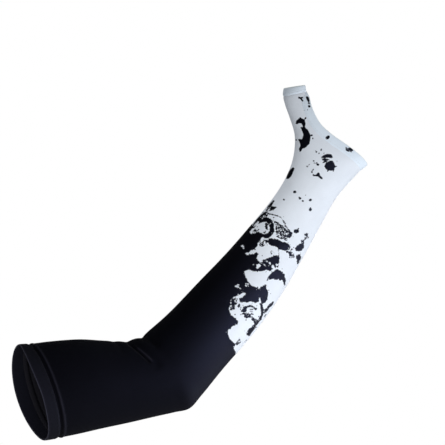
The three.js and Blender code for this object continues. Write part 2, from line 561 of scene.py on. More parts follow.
@dataclass(frozen=True)
class HandLine:
    """A line round the hand opening, a width in from the free edge, read by section number."""

    at: np.ndarray
    share: np.ndarray
    notch_ease: float = 0.9
    edge_steps: int = 24
    close: float = 1e-9

    @classmethod
    def inside_edge(cls, form: SleeveForm, width: float) -> "HandLine":
        """Lays the line on the sleeve.

        Args:
            form: the worn sleeve's form.
            width: millimetres in from the free edge.

        Returns:
            The line from the opening's far corner to the notch beside the thumb stall.
        """
        knots = np.array(HAND_EDGE, float)
        padded = np.vstack((knots[0], knots, knots[-1]))
        share = np.linspace(0, 1, cls.edge_steps, endpoint=False)[:, None]
        run = []
        for p0, p1, p2, p3 in zip(padded, padded[1:], padded[2:], padded[3:]):
            v1, v2 = (p2 - p0) / 2, (p3 - p1) / 2
            bend = -3 * p1 + 3 * p2 - 2 * v1 - v2
            twist = 2 * p1 - 2 * p2 + v1 + v2
            run.append(p1 + share * (v1 + share * (bend + share * twist)))
        line = np.vstack(run)
        ahead = np.gradient(line, axis=0)
        ahead /= np.linalg.norm(ahead, axis=1, keepdims=True)
        line = line + width * np.stack((-ahead[:, 1], ahead[:, 0]), axis=1)
        at, across = form.find(line[:, 0], line[:, 1], *HAND_SEARCH)
        kept = np.flatnonzero(across < 1.0)
        first, last = max(kept[0] - 1, 0), min(kept[-1] + 2, len(at))
        at, across = at[first:last], across[first:last]
        order = np.argsort(at)
        return cls(at[order], across[order])

    def ends(self, limit: float) -> Pair:
        """Gives the section numbers where the line leaves the sleeve, the last one below a limit."""
        inner = np.flatnonzero(self.share < 1.0)
        low, high = self._leaves(int(inner[0]), -1), self._leaves(int(inner[-1]), 1)
        return low, min(high, limit)

    def _leaves(self, inside: int, step: int) -> float:
        """Gives the section number where the line leaves the sleeve, a step past its last spot inside."""
        outside = inside + step
        if not 0 <= outside < len(self.at):
            return float(self.at[inside])
        pair = [inside, outside]
        return float(np.interp(1.0, self.share[pair], self.at[pair]))

    def loop(self, turns: np.ndarray, limit: float) -> Line:
        """Walks once round the hand opening along the line.

        Args:
            turns: how far round, 0 at the far corner and pi at the notch, in radians.
            limit: the highest section number that the line may reach.

        Returns:
            Section numbers and angles round the sleeve.
        """
        low, high = self.ends(limit)
        at = low + (high - low) * (1 - np.cos(turns)) / 2
        share = np.interp(at, self.at, self.share)
        share = np.where((at <= low + self.close) | (at >= high - self.close), 1.0, share)
        if high == limit:
            share = share + (1.0 - share) * smooth_step(at, limit - self.notch_ease, limit)
        angle = np.arccos(np.clip(share, -1.0, 1.0))
        return at, np.where(np.sin(turns) >= 0, -angle, angle)


@dataclass(frozen=True)
class InkPrint:
    """The ink-splatter print: black that breaks up into white, with drops beside the hand opening."""

    edge: tuple[Pair, ...]
    layers: tuple[tuple[Cover, tuple[Blot | Thread | Patch, ...]], ...]
    lace: tuple[Patch, ...]
    far_right: float = 420.0
    far_left: float = -400.0
    far_down: float = -150.0
    rise: float = 60.0
    charted_facing: Pair = (-0.5, -0.1)
    back_end: float = 10.75
    back_slant: float = 1.45
    least_crumb: float = 0.42
    crumb_stop: Pair = (13.6, 12.6)
    drop_swell: float = 0.28
    drop_start: Pair = (12.8, 13.6)
    lace_rim: Pair = (-0.8, 1.0)
    loose_stop: Pair = (19.0, 17.8)

    def _inside_edge(self, x: np.ndarray, z: np.ndarray) -> np.ndarray:
        """Gives millimetres inside the edge of the whole black, negative past it."""
        edge = CHART.places(self.edge)
        beyond = (
            (self.far_right, self.far_down),
            (self.far_left, self.far_down),
            (self.far_left, edge[0][1] + self.rise),
        )
        away = distance_to_line(x, z, edge)
        return np.where(inside_outline(x, z, (*edge, *beyond)), away, -away)

    def chart(self, x: np.ndarray, z: np.ndarray) -> np.ndarray:
        """Reads the chart.

        Args:
            x: places across the chart.
            z: places up the chart.

        Returns:
            Millimetres inside the ink, negative on bare white.
        """
        ink = self._inside_edge(x, z)
        for cover, blots in self.layers:
            for blot in blots:
                depth = blot.depth_in(x, z)
                ink = np.maximum(ink, depth) if cover is Cover.INK else np.minimum(ink, -depth)
        return ink

    def lay(self, form: SleeveForm, at: np.ndarray, angle: np.ndarray) -> dict[str, np.ndarray]:
        """Lays the print on places of the sleeve.

        Args:
            form: the worn sleeve's form.
            at: section numbers.
            angle: angles round the ring.

        Returns:
            By name: millimetres inside the ink, how crumbly its edge is, the share of lace, the share of
            loose splatter, which isn't charted, and millimetres inside the whole black.
        """
        _, out = form.points(at, angle, np.zeros(at.shape))
        facing = -out[:, 0] * math.sin(VIEW_TURN) - out[:, 1] * math.cos(VIEW_TURN)
        front = smooth_step(facing, *self.charted_facing)
        x, z = form.chart_place(at, angle)
        charted = self.chart(x, z)
        lace = np.max([patch.depth_in(x, z) for patch in self.lace], axis=0)
        limit = self.back_end - self.back_slant * np.sin(turn_from_front(angle))
        behind = form.along(limit) - form.along(at)
        crumb = self.least_crumb + (1.0 - self.least_crumb) * smooth_step(at, *self.crumb_stop)
        charted = charted + self.drop_swell * smooth_step(at, *self.drop_start)
        return {
            "ink": front * charted + (1 - front) * behind,
            "crumb": crumb,
            "lace": front * smooth_step(lace, *self.lace_rim),
            "loose": (1 - front) * smooth_step(at, *self.loose_stop),
            "dyed": front * self._inside_edge(x, z) + (1 - front) * behind,
        }


PRINT = InkPrint(
    edge=(
        (246, 217), (253, 226), (256.5, 231), (259, 234.5), (262, 238), (258.5, 242.5), (257, 247),
        (252, 250.4), (245.3, 253), (247, 254.9), (252, 254), (256, 252.7), (259.8, 253.6),
        (257.5, 255.4), (256.5, 258.5), (259.2, 262), (258, 266), (255, 270.5), (252.7, 271),
        (248.4, 269.2), (244, 271.4), (244.8, 275), (247.6, 280.7), (252, 285.5), (252, 291),
        (246, 291.6), (243, 292.4), (238, 294.8), (233, 297.2), (230.6, 299.6), (229.8, 304), (229, 310),
        (230.6, 314), (233, 315.7), (236.3, 317.8), (237.6, 320.4), (236.8, 323.6), (233, 325.4),
        (228.8, 328.7), (227.9, 333), (229.3, 338), (233.8, 342.2), (234.7, 344.8), (233.8, 348),
        (235.5, 351.6), (242, 368),
    ),
    layers=(
        (Cover.INK, (
            Blot(265.8, 227.8, 8.8, 10.4),
            Thread(((264.5, 213.3), (260.8, 217.6), (257, 221.6), (254.5, 224.6)), 1.9),
            Blot(258.6, 219.4, 3.2, 1.7, 48), Blot(257.4, 236.4, 5, 4.2),
            Patch((
                (268.4, 238.7), (271.2, 237.7), (277.8, 239.6), (283.5, 241.5), (288.3, 243.9),
                (290.7, 247.2), (289.2, 249.6), (284.5, 251), (279.7, 249.1), (275.9, 246.8),
                (271.2, 245.3), (267.4, 243.4),
            )),
            Patch((
                (256, 262), (259.3, 262), (262, 259.6), (266, 259), (269, 257.6), (272, 256.2),
                (276, 255.4), (278.9, 255.6), (279.4, 259), (279.2, 263.5), (278.4, 266.8), (276, 267.4),
                (275, 268.6), (272.5, 268.9), (270, 270.7), (266, 269.8), (262, 270.6), (258, 271.4),
                (254, 271), (250, 269.8),
            )),
            Patch((
                (266.3, 280.9), (268.5, 276.4), (272.8, 271.4), (277.1, 268.9), (280.7, 270.3),
                (284.3, 274.3), (285.7, 279.3), (285.7, 284.3), (284.6, 286.5), (283.5, 283.6),
                (282.1, 280), (279.9, 280.7), (277.1, 279.6), (272.8, 278.9), (268.5, 279.5),
            )),
            Patch((
                (250, 284), (252, 285.6), (255.5, 286.6), (260, 289.4), (260, 285.4), (262.4, 286.4),
                (264.3, 283.4), (265.8, 284.4), (266.3, 288), (268.2, 292.9), (267.8, 298),
                (265.9, 301.7), (263, 304), (260.6, 303), (260.4, 297), (259.2, 297), (258.8, 301.5),
                (253.4, 303), (250.7, 301), (247.4, 302.3), (244, 301), (239.8, 302.2), (239, 298),
                (243.5, 295.8), (245.6, 293.4), (244, 290), (247, 286),
            )),
        )),
        (Cover.BARE, (
            Patch((
                (256.4, 224.5), (259.8, 223), (262.7, 222.1), (266.5, 222.1), (269.3, 224.5),
                (269.8, 229.2), (267.9, 233), (264.1, 234.4), (260.8, 232.5), (257.4, 230.6),
                (256, 227.8),
            )),
            Blot(253.2, 229.2, 2.3, 1.3, 30), Blot(251.4, 232.3, 1.4, 1.6), Blot(254.5, 232.2, 1.2, 0.8),
            Thread(((258.6, 221.8), (255.4, 225)), 0.9), Thread(((264.6, 215), (261.6, 218.4)), 0.5),
            Blot(242.6, 246.2, 1.5, 1), Blot(243.2, 247.8, 1.4, 0.7, -20),
            Patch((
                (256.2, 264), (259, 263.4), (261.4, 265.6), (258.6, 267.4), (257.6, 269.4),
                (256.4, 268.5),
            )),
            Thread(((260.4, 262.6), (263.4, 264.2), (266.2, 266.2)), 0.45),
            Thread(((259.4, 261.4), (262.6, 261.4)), 0.5), Blot(272.8, 266.8, 1.4, 1.9, 30),
            Blot(276.7, 264.9, 1.2, 1.1), Blot(275.2, 269.2, 1.3, 0.8, 30),
            Blot(253.4, 264.4, 1, 0.6, 40), Blot(269.8, 263, 0.6, 0.8), Blot(266.6, 261.2, 0.7, 0.6),
            Blot(246, 285.4, 1, 0.6, -30), Blot(247.6, 283.6, 1.1, 0.6, -20),
            Thread(((235.6, 286), (238.4, 286.4)), 0.5), Thread(((239.4, 287.4), (240.6, 289.2)), 0.45),
            Thread(((242, 290.8), (244.2, 293)), 0.45), Blot(238.6, 284.4, 0.7, 0.9),
            Blot(252.6, 302.6, 1.4, 1.2),
        )),
        (Cover.INK, (
            Blot(266.6, 226.2, 1.6, 3.5, 10), Blot(268.2, 229.6, 1.1, 0.9), Blot(264.6, 232.6, 1, 0.7),
            Patch(((270.4, 205.4), (276.4, 207), (273.6, 210.2), (268.4, 211.4), (270, 208.4))),
            Thread(((273.8, 201.2), (271.4, 205), (268.6, 208.6), (266.4, 210.4)), 0.95),
            Thread(((271.6, 202.8), (268, 207)), 0.6), Blot(266.4, 212.6, 1.5, 0.7, 50),
            Blot(263.2, 214.2, 1.1, 0.8, 50), Blot(269, 214, 1.2, 0.5, -20), Blot(267, 215.8, 1, 0.4, 30),
            Blot(262, 246.4, 1.2, 0.8, 20), Blot(266.4, 241, 1, 1.3), Blot(260.6, 244, 0.8, 1.1),
            Blot(264, 240, 1.2, 0.7, -20), Blot(264.4, 244.6, 0.6, 0.5),
            Thread(((278.3, 249), (278.7, 253), (278.6, 256)), 0.45),
            Thread(((271.6, 250.6), (273.4, 252.4)), 0.3), Blot(287, 251.6, 1.8, 0.9, 10),
            Blot(289.8, 253.4, 1.3, 1.6), Thread(((291.2, 253.8), (291.6, 257.2)), 0.55),
            Thread(((293.4, 254.6), (293.6, 258)), 0.5), Blot(289.8, 257.2, 0.6, 0.9),
            Blot(291.4, 249.6, 0.6, 0.5),
            Thread((
                (270.6, 214.2), (276, 215.4), (279.8, 216.8), (283, 220.3), (284.8, 224), (285.4, 226.4),
                (288.3, 229.5), (291, 233),
            ), 0.5),
            Blot(290.7, 234.4, 1.3, 2.2, -20),
            Thread(((274.4, 221.4), (278, 223.4), (281.4, 226.2), (284.5, 229.5), (287.6, 232.6)), 0.75),
            Blot(281.6, 226.2, 1.9, 1.1, -30), Blot(288.6, 231.6, 1.6, 0.9, -45),
            Blot(288.6, 236.6, 1.5, 1, -30), Blot(285.2, 236.2, 1.6, 0.8, -25),
            Blot(281.6, 236.6, 1.6, 0.8, -10), Blot(278.2, 235.6, 1.2, 0.6, 10),
            Blot(283.4, 233, 0.8, 1.2, 20), Blot(279.2, 230.6, 0.5, 1.8, -10),
            Blot(276.4, 228, 0.8, 0.5, 40), Blot(276.6, 232, 1, 0.5, 20),
            Blot(296.2, 230.9, 2.8, 2.1, 10), Thread(((295, 232.6), (298.8, 228.2)), 0.7),
            Thread(((296.5, 230), (299.2, 231)), 0.4), Thread(((296.2, 229.4), (296.8, 227.4)), 0.4),
            Blot(299.8, 247.4, 5, 3.3, 32), Blot(302.8, 243, 1.7, 2.3, -10), Blot(301.5, 240.2, 0.8, 1.2),
            Blot(304.3, 240.2, 0.7, 1.3), Blot(306.4, 236, 0.6, 0.5), Blot(307.9, 233.8, 0.7, 0.5, 40),
            Blot(308.2, 237.2, 0.5, 0.6), Blot(305.4, 238.4, 0.5, 0.5), Blot(306.4, 233.4, 0.5, 0.5),
            Blot(298.6, 257.6, 2.7, 3.5), Blot(298, 262, 1.5, 2.4), Blot(233, 303, 1.5, 4.8, 5),
            Blot(238.9, 305.2, 1.1, 1.8, -15), Blot(231.4, 308.4, 0.9, 1.6), Blot(236, 300.4, 0.7, 0.9),
            Blot(244.4, 309.2, 2.1, 3.2, -20), Blot(242, 310.4, 1.4, 1),
            Thread(((245.6, 307.6), (249.2, 305.6), (252.8, 306.4), (255.8, 308.6)), 0.95),
            Thread(((250, 309.4), (253.4, 308.6), (256.8, 308.2)), 0.5),
            Thread(((249, 310.8), (252.6, 311.4)), 0.35), Blot(244.8, 315.2, 1.8, 0.9),
            Blot(247.2, 313.8, 1.3, 1, 20), Blot(249.6, 315.6, 1.5, 1.2), Blot(251.6, 313.6, 1, 0.7),
            Blot(251.6, 316.8, 0.8, 1.1), Blot(246.6, 317, 1.1, 0.5), Blot(241.4, 313.8, 0.8, 0.6),
            Blot(253.2, 318.8, 2.1, 1.5, 10),
            Thread(((253.4, 319.4), (255.2, 322.6), (256.2, 325.2)), 0.8),
            Thread(((255.4, 318.4), (257.8, 321)), 0.6),
            Thread((
                (260.6, 303.4), (261.8, 307), (262.2, 311), (261.5, 315.5), (259.6, 319.5),
                (257.4, 322.8), (254.6, 326.2),
            ), 1.35),
            Thread(((254.6, 326.2), (251.6, 330), (248.4, 334)), 1.9), Blot(250.4, 329.4, 2.2, 1.5, 45),
            Blot(252, 327.4, 0.9, 1.4), Blot(248.2, 331, 0.8, 1.4),
            Thread(((273, 302.8), (268.6, 307), (265.2, 311)), 1.25), Blot(264.4, 312.6, 1.3, 0.9, 40),
            Thread(((266.2, 314.6), (264.2, 316.8)), 0.4),
            Thread(((234.6, 343.8), (237, 342), (239.4, 339.4)), 0.85), Blot(239, 338.6, 0.6, 1.2, -10),
            Thread(((236.6, 344.2), (240.2, 341.8)), 0.5), Thread(((242.8, 343.2), (246.6, 339.8)), 0.35),
        )),
        (Cover.INK, (
            Patch((
                (286.4, 178.4), (287.7, 173.6), (290.3, 169.5), (293.3, 167.3), (294.4, 168.4),
                (292.8, 172.1), (290.8, 176.7), (288.2, 178.7),
            )),
            Patch((
                (295.8, 123.3), (296.9, 120.2), (300.5, 117.3), (304.6, 119.6), (305.7, 122.8),
                (304.7, 127.6), (303.4, 126), (302, 122.9), (299, 122.7), (297.4, 123.9),
            )),
            Patch((
                (300.8, 127.2), (304.6, 126.6), (307.6, 129.6), (309.9, 134.1), (310.4, 138),
                (309.5, 143.2), (307.4, 145.9), (304.8, 147.7), (302.6, 148), (301.5, 150.6),
                (299.9, 151.7), (299.5, 148.5), (300.8, 145.4), (299.8, 141.5), (298.7, 139),
                (302, 139.5), (303.3, 136.7), (303.7, 134.1), (302.4, 130.5),
            )),
            Blot(311.8, 135.1, 1, 0.55), Blot(313, 138.2, 0.5, 0.5), Blot(305.6, 118, 0.5, 0.9, -30),
            Blot(296.4, 139.7, 0.5, 0.5), Blot(327.7, 137.6, 2, 1.3, 30), Blot(328.6, 136.4, 1, 1.1),
            Thread(((346.2, 147.2), (346.7, 149.5), (348.7, 150.7)), 0.6),
            Blot(351, 149.2, 2.6, 1.3, -22), Blot(351.6, 152, 0.6, 0.5),
            Patch((
                (321.4, 157.3), (323.6, 155.5), (327.2, 154), (331.8, 154.5), (333.2, 157.8),
                (328.2, 157.3), (324.1, 157.8),
            )),
            Patch(((321.9, 158.9), (325.1, 158.1), (329.9, 159.8), (326.2, 160.2), (323.1, 160.4))),
            Patch(((322.4, 162.9), (324.1, 161.2), (327.4, 160.7), (325.1, 162.5))),
            Patch((
                (324.5, 166.4), (326.1, 163.2), (330.3, 160.6), (333.3, 161.1), (335, 165.4),
                (334.3, 170.1), (330.3, 170.6), (326.2, 169.1),
            )),
            Thread(((334, 166.1), (337, 166.4)), 0.4), Thread(((328.4, 169), (327.6, 171.4)), 0.35),
            Thread(((332.8, 169.4), (333.6, 171.4)), 0.35), Blot(316.4, 151.5, 1.3, 0.6, -50),
            Blot(319.4, 153.2, 0.5, 0.4), Blot(321.5, 149.7, 0.5, 1, -15), Blot(324.1, 153.1, 0.7, 0.45),
            Blot(313.8, 160.8, 0.8, 0.45), Blot(317.9, 164.5, 1.4, 0.85, -20),
            Blot(316.9, 162.9, 0.5, 0.9, 20), Blot(314.4, 163.2, 0.5, 0.5), Blot(337.2, 161, 0.6, 0.45),
            Blot(307.2, 166.4, 0.9, 0.35), Blot(307.2, 166.2, 0.35, 0.8), Blot(309.6, 164.6, 0.5, 0.4),
            Blot(313.3, 169.5, 0.55, 0.9), Blot(311.9, 172, 0.6, 0.95, 20), Blot(313.6, 175.1, 0.7, 0.9),
            Blot(316.3, 175.4, 1.3, 0.6, 10), Blot(318.5, 174.6, 1.4, 2),
            Thread(((318.8, 175.6), (321.8, 178.4)), 0.65), Blot(321.6, 178, 1.2, 0.8, -40),
            Thread(((299.3, 97.1), (301, 97.7), (302.8, 100.3)), 0.7),
            Thread(((301, 97.7), (302.6, 97)), 0.5), Blot(307.6, 98, 1.1, 2.2, 25),
            Blot(308.7, 100.4, 0.8, 1), Blot(309, 102.9, 0.9, 0.7), Blot(309.2, 106, 1, 1.1),
            Blot(304.6, 110, 0.6, 0.4), Blot(307.5, 109.5, 0.5, 0.5), Blot(294.7, 192, 1.5, 1.2, 15),
            Blot(300, 198.4, 1.2, 1, 30), Blot(299, 197.4, 0.8, 0.6), Blot(302.8, 201, 0.8, 0.7),
            Blot(305.5, 195, 0.4, 0.4), Blot(310.4, 200, 1.5, 1.1, 20), Blot(310.2, 210, 1.5, 0.9),
            Blot(310.4, 208.8, 0.6, 1), Blot(283.8, 199.6, 0.8, 0.9, 30),
        )),
    ),
    lace=(
        Patch((
            (274, 221.5), (280, 223.5), (285, 227.5), (291.5, 233.5), (291, 238), (287, 241.5),
            (281, 239.5), (275.5, 237), (274.8, 229),
        )),
        Patch(((262, 215), (268, 212.5), (270, 214), (265, 217.5), (260, 222), (257.5, 222.5))),
        Patch(((241, 312), (247, 311.5), (253.5, 312), (254.5, 316), (249, 318.5), (243, 317.5))),
        Patch(((257.5, 240), (262, 239.5), (267, 240), (267, 244), (263.5, 247), (258.5, 246.5))),
        Patch(((231, 298), (236, 296), (238.5, 298), (236, 309), (231.5, 311))),
        Patch(((286.5, 250.5), (291, 249.5), (295, 254), (295, 258.5), (289.5, 258.5))),
        Patch(((303.5, 233), (308.8, 233), (308.8, 238.5), (304, 241))),
        Patch(((261, 259.5), (268, 258.5), (270, 268.5), (262, 270))),
    ),
)


NOISE_SPAN: Pair = (0.3, 0.7)
MIX_SOCKETS = (0, 6, 7)


@dataclass(frozen=True)
class Grain:
    """A noise that moves an edge: waves a metre, finer layers, and its swing and shift in millimetres."""

    scale: float
    detail: float
    swing: float
    shift: float
    rough: float = 0.55


@dataclass(frozen=True)
class Speckle:
    """Scattered specks: how many a metre, the largest half width in millimetres, and how few are large."""

    scale: float
    size: float
    rarity: float = 2.0


def shaded(colour: Colour, factor: float, brightest: float = 1.0) -> Colour:
    """Makes a colour lighter or darker.

    Args:
        colour: the colour.
        factor: what its parts are multiplied by.
        brightest: the most that a part may become.

    Returns:
        The new colour.
    """
    red, green, blue = (min(brightest, factor * part) for part in colour[:3])
    return red, green, blue, 1.0


class NodeBench:
    """Lays out one material's shader nodes, on the object's own coordinates."""

    def __init__(self, name: str) -> None:
        """Starts a node material.

        Args:
            name: the material's name.
        """
        self.material = bpy.data.materials.new(name)
        self.material.use_nodes = True
        self.nodes = self.material.node_tree.nodes
        self.links = self.material.node_tree.links
        self.place = self.add("TexCoord").outputs["Object"]

    def add(self, kind: str, **settings: object) -> bpy.types.Node:
        """Adds a node.

        Args:
            kind: the node's type after ShaderNode.
            **settings: attributes to set on it.

        Returns:
            The node.
        """
        node = self.nodes.new(f"ShaderNode{kind}")
        for key, value in settings.items():
            setattr(node, key, value)
        return node

    def feed(self, socket: Socket, value: object) -> None:
        """Links an output to a socket, or sets a plain value on it."""
        if isinstance(value, Socket):
            self.links.new(value, socket)
        else:
            socket.default_value = value

    def shade(self, sockets: dict[str, object]) -> bpy.types.Material:
        """Feeds the shader.

        Args:
            sockets: a plain value or a source for each socket, by the socket's name.

        Returns:
            The finished material.
        """
        shader = self.nodes["Principled BSDF"]
        for name, value in sockets.items():
            self.feed(shader.inputs[name], value)
        return self.material

    def reckon(self, how: str, first: object, second: object = 0.0, third: object = 0.0) -> Socket:
        """Adds a Math node.

        Args:
            how: its operation.
            first: its first value or source.
            second: its second value or source.
            third: its third value or source.

        Returns:
            The result's socket.
        """
        node = self.add("Math", operation=how)
        for socket, value in zip(node.inputs, (first, second, third)):
            self.feed(socket, value)
        return node.outputs[0]

    def attribute(self, name: str) -> Socket:
        """Reads a number kept on the mesh's points."""
        return self.add("Attribute", attribute_name=name).outputs["Fac"]

    def noise(self, scale: float, detail: float, rough: float = 0.55) -> Socket:
        """Adds a noise texture.

        Args:
            scale: its waves a metre.
            detail: its finer layers.
            rough: how strong they are.

        Returns:
            Its value's socket, near 0.5 on the whole.
        """
        node = self.add("TexNoise")
        settings = {"Vector": self.place, "Scale": scale, "Detail": detail, "Roughness": rough}
        for name, value in settings.items():
            self.feed(node.inputs[name], value)
        return node.outputs["Fac"]

    def fleck(self, scale: float, detail: float = 2.0) -> Socket:
        """Gives light and dark flecks of a scale in waves a metre, from 0 to 1."""
        return self.ramp(self.noise(scale, detail), *NOISE_SPAN, 0.0, 1.0)

    def waver(self, grain: Grain) -> Socket:
        """Gives the millimetres by which a grain moves an edge."""
        noise = self.noise(grain.scale, grain.detail, grain.rough)
        return self.reckon("MULTIPLY_ADD", noise, grain.swing, grain.shift)

    def cells(self, scale: float, feature: str = "F1") -> bpy.types.Node:
        """Adds a texture of scattered cells.

        Args:
            scale: its cells a metre.
            feature: what its distance is measured to.

        Returns:
            The node.
        """
        node = self.add("TexVoronoi", feature=feature)
        self.feed(node.inputs["Vector"], self.place)
        self.feed(node.inputs["Scale"], scale)
        return node

    def ramp(self, value: object, low: float, high: float, to_low: float, to_high: float) -> Socket:
        """Maps a range of values smoothly onto another.

        Args:
            value: what is mapped.
            low: the range's start.
            high: the range's end.
            to_low: what the start becomes.
            to_high: what the end becomes.

        Returns:
            The mapped value's socket.
        """
        node = self.add("MapRange", interpolation_type="SMOOTHSTEP")
        for socket, number in zip(node.inputs, (value, low, high, to_low, to_high)):
            self.feed(socket, number)
        return node.outputs[0]

    def blend(self, share: object, first: object, second: object) -> Socket:
        """Mixes two colours.

        Args:
            share: how much of the second.
            first: the colour at 0.
            second: the colour at 1.

        Returns:
            The mixed colour's socket.
        """
        node = self.add("Mix", data_type="RGBA")
        for index, value in zip(MIX_SOCKETS, (share, first, second)):
            self.feed(node.inputs[index], value)
        return node.outputs[2]


@dataclass(frozen=True)
class KnitFinish:
    """A fine stretch knit, printed or dyed through. Loops, grains and edges are in millimetres."""

    name: str
    bare: Colour = (0.76, 0.815, 0.885, 1.0)
    ink: Colour = (0.0024, 0.0023, 0.0033, 1.0)
    printed: bool = True
    # Painted highlight: where the fold attribute is set, the ink is drawn this many times lighter, and the
    # bare knit by the next factor, up to the value after it.
    worn: float = 6.0
    highlight_bare: float = 1.12
    brightest_bare: float = 0.95
    light_fibre: float = 1.5
    dark_fibre: float = 0.95
    inside_ink: Pair = (12.0, 16.0)
    inside_fibre: float = 0.93
    inside_roughness: Pair = (0.76, 0.84)
    inside_gloss: float = 0.3
    dye_fade: float = 7.0
    roughness: float = 0.69
    roughness_swing: float = 0.04
    bare_roughness: float = 0.78
    gloss: float = 0.42
    gloss_tint: Colour = (0.5, 0.55, 1.0, 1.0)
    sheen: float = 0.02
    sheen_roughness: float = 0.45
    wale: float = 0.62
    course: float = 0.5
    loop_slant: float = 0.4
    loop_height: float = 0.25
    relief: float = 0.22
    relief_depth: float = 0.12
    cloud_scale: float = 60.0
    cloud_span: Pair = (0.25, 0.75)
    cloud_shade: Pair = (0.97, 1.02)
    fibre_scale: float = 2600.0
    strand_scale: float = 330.0
    strand_bound: float = 4.0
    splash: Grain = Grain(50.0, 4.0, 290.0, -150.0, 0.6)
    coarse: Grain = Grain(200.0, 5.0, 3.6, -1.8, 0.62)
    fine: Grain = Grain(600.0, 3.0, 2.0, -1.0)
    broken: Grain = Grain(420.0, 2.0, 3.4, -1.12)
    specks: Speckle = Speckle(310.0, 1.0)
    drops: Speckle = Speckle(62.0, 4.6, 5.0)
    holes: Speckle = Speckle(350.0, 0.8)
    speck_fade: Pair = (-0.3, -0.6)
    hole_fade: Pair = (0.4, -0.4)
    drop_waver: float = 0.8
    no_drops: float = 12.0
    no_specks: float = 3.0
    crumbly: Pair = (0.6, 0.9)
    ink_edge: float = 0.3

    def material(self) -> bpy.types.Material:
        """Builds the finish.

        Returns:
            The node material.
        """
        bench = NodeBench(self.name)
        cloudy = bench.noise(self.cloud_scale, 3.0)
        fibre = bench.fleck(self.fibre_scale)
        # The fold attribute carries painted highlights: the crease's crest, the ridge by the biceps seam and
        # the hems' free edges, which are drawn lighter.
        fold = bench.attribute("fold")
        colour = bench.blend(fibre, self.ink, shaded(self.ink, self.light_fibre))
        colour = bench.blend(fold, colour, shaded(self.ink, self.worn))
        if self.printed:
            bare = bench.blend(fibre, self.bare, shaded(self.bare, self.dark_fibre))
            bare = bench.blend(fold, bare, shaded(self.bare, self.highlight_bare, self.brightest_bare))
            covered = self._covered(bench)
            colour = bench.blend(covered, bare, colour)
            rough = bench.ramp(covered, 0.0, 1.0, self.bare_roughness, self.roughness)
        else:
            smoothest, roughest = (self.roughness + side * self.roughness_swing for side in (-1, 1))
            rough = bench.ramp(cloudy, *NOISE_SPAN, smoothest, roughest)
        tint = bench.add("HueSaturation")
        bench.feed(tint.inputs["Color"], colour)
        bench.feed(tint.inputs["Value"], bench.ramp(cloudy, *self.cloud_span, *self.cloud_shade))
        return bench.shade({
            "Base Color": tint.outputs[0],
            "Roughness": rough,
            "Specular IOR Level": self.gloss,
            "Specular Tint": self.gloss_tint,
            "Sheen Weight": self.sheen,
            "Sheen Roughness": self.sheen_roughness,
            "Normal": self._loops(bench),
        })

    def inside(self) -> bpy.types.Material:
        """Builds the plain inner face: the same knit, dyed black as far as the print's black goes.

        Returns:
            The node material.
        """
        bench = NodeBench(f"{self.name}_inside")
        fibre = bench.fleck(self.fibre_scale)
        bare = bench.blend(fibre, self.bare, shaded(self.bare, self.inside_fibre))
        dark = bench.blend(fibre, *(shaded(self.ink, factor) for factor in self.inside_ink))
        dyed = bench.ramp(bench.attribute("dyed"), -self.dye_fade, self.dye_fade, 0.0, 1.0)
        return bench.shade({
            "Base Color": bench.blend(dyed, bare, dark),
            "Roughness": bench.ramp(fibre, 0.0, 1.0, *self.inside_roughness),
            "Specular IOR Level": self.inside_gloss,
            "Normal": self._loops(bench),
        })

    def _covered(self, bench: NodeBench) -> Socket:
        """Breaks the charted print up into crumbly ink.

        Args:
            bench: the material's nodes.

        Returns:
            The share of ink, from 0 to 1.
        """
        crumb, loose = bench.attribute("crumb"), bench.attribute("loose")
        ink = bench.reckon("MULTIPLY_ADD", bench.waver(self.splash), loose, bench.attribute("ink"))
        fine = bench.waver(self.fine)
        waver = bench.reckon("MULTIPLY", bench.reckon("ADD", bench.waver(self.coarse), fine), crumb)
        depth = bench.reckon("MAXIMUM", bench.reckon("ADD", ink, waver), self._strands(bench))
        smooth = bench.ramp(crumb, *self.crumbly, self.no_specks, 0.0)
        specks, holes = (
            self._scatter(bench, speckle, bench.reckon("ADD", self._fade(bench, ink, fade), smooth))
            for speckle, fade in ((self.specks, self.speck_fade), (self.holes, self.hole_fade))
        )
        charted = bench.ramp(loose, 0.0, 1.0, self.no_drops, 0.0)
        drops = self._scatter(bench, self.drops, charted)
        depth = bench.reckon("MAXIMUM", depth, specks)
        depth = bench.reckon("MAXIMUM", depth, bench.reckon("MULTIPLY_ADD", fine, self.drop_waver, drops))
        depth = bench.reckon("MINIMUM", depth, bench.reckon("MULTIPLY", holes, -1.0))
        return bench.ramp(depth, -self.ink_edge, self.ink_edge, 0.0, 1.0)

    @staticmethod
    def _fade(bench: NodeBench, ink: Socket, fade: Pair) -> Socket:
        """Gives how much smaller specks are at a depth of ink, by a slope and a start, never under 0."""
        return bench.reckon("MAXIMUM", bench.reckon("MULTIPLY_ADD", ink, *fade), 0.0)

    def _strands(self, bench: NodeBench) -> Socket:
        """Draws the thin broken strands where the ink thins out like lace.

        Args:
            bench: the material's nodes.

        Returns:
            Millimetres inside the strands.
        """
        gap = bench.cells(self.strand_scale, "DISTANCE_TO_EDGE").outputs["Distance"]
        to_mm = 1.0 / (self.strand_scale * MM)
        strand = bench.reckon("MULTIPLY_ADD", gap, -to_mm, bench.waver(self.broken))
        bound = bench.ramp(bench.attribute("lace"), 0.0, 1.0, -self.strand_bound, 0.0)
        return bench.reckon("ADD", strand, bound)

    @staticmethod
    def _scatter(bench: NodeBench, speckle: Speckle, less: Socket) -> Socket:
        """Scatters small specks of many sizes.

        Args:
            bench: the material's nodes.
            speckle: the specks.
            less: how much smaller they are here, in millimetres.

        Returns:
            Millimetres inside the specks.
        """
        cells = bench.cells(speckle.scale)
        chance = bench.add("SeparateColor")
        bench.feed(chance.inputs[0], cells.outputs["Color"])
        rare = bench.reckon("POWER", chance.outputs[0], speckle.rarity)
        reach = bench.reckon("MULTIPLY", rare, speckle.size)
        to_mm = 1.0 / (speckle.scale * MM)
        drop = bench.reckon("MULTIPLY_ADD", cells.outputs["Distance"], -to_mm, reach)
        return bench.reckon("SUBTRACT", drop, less)

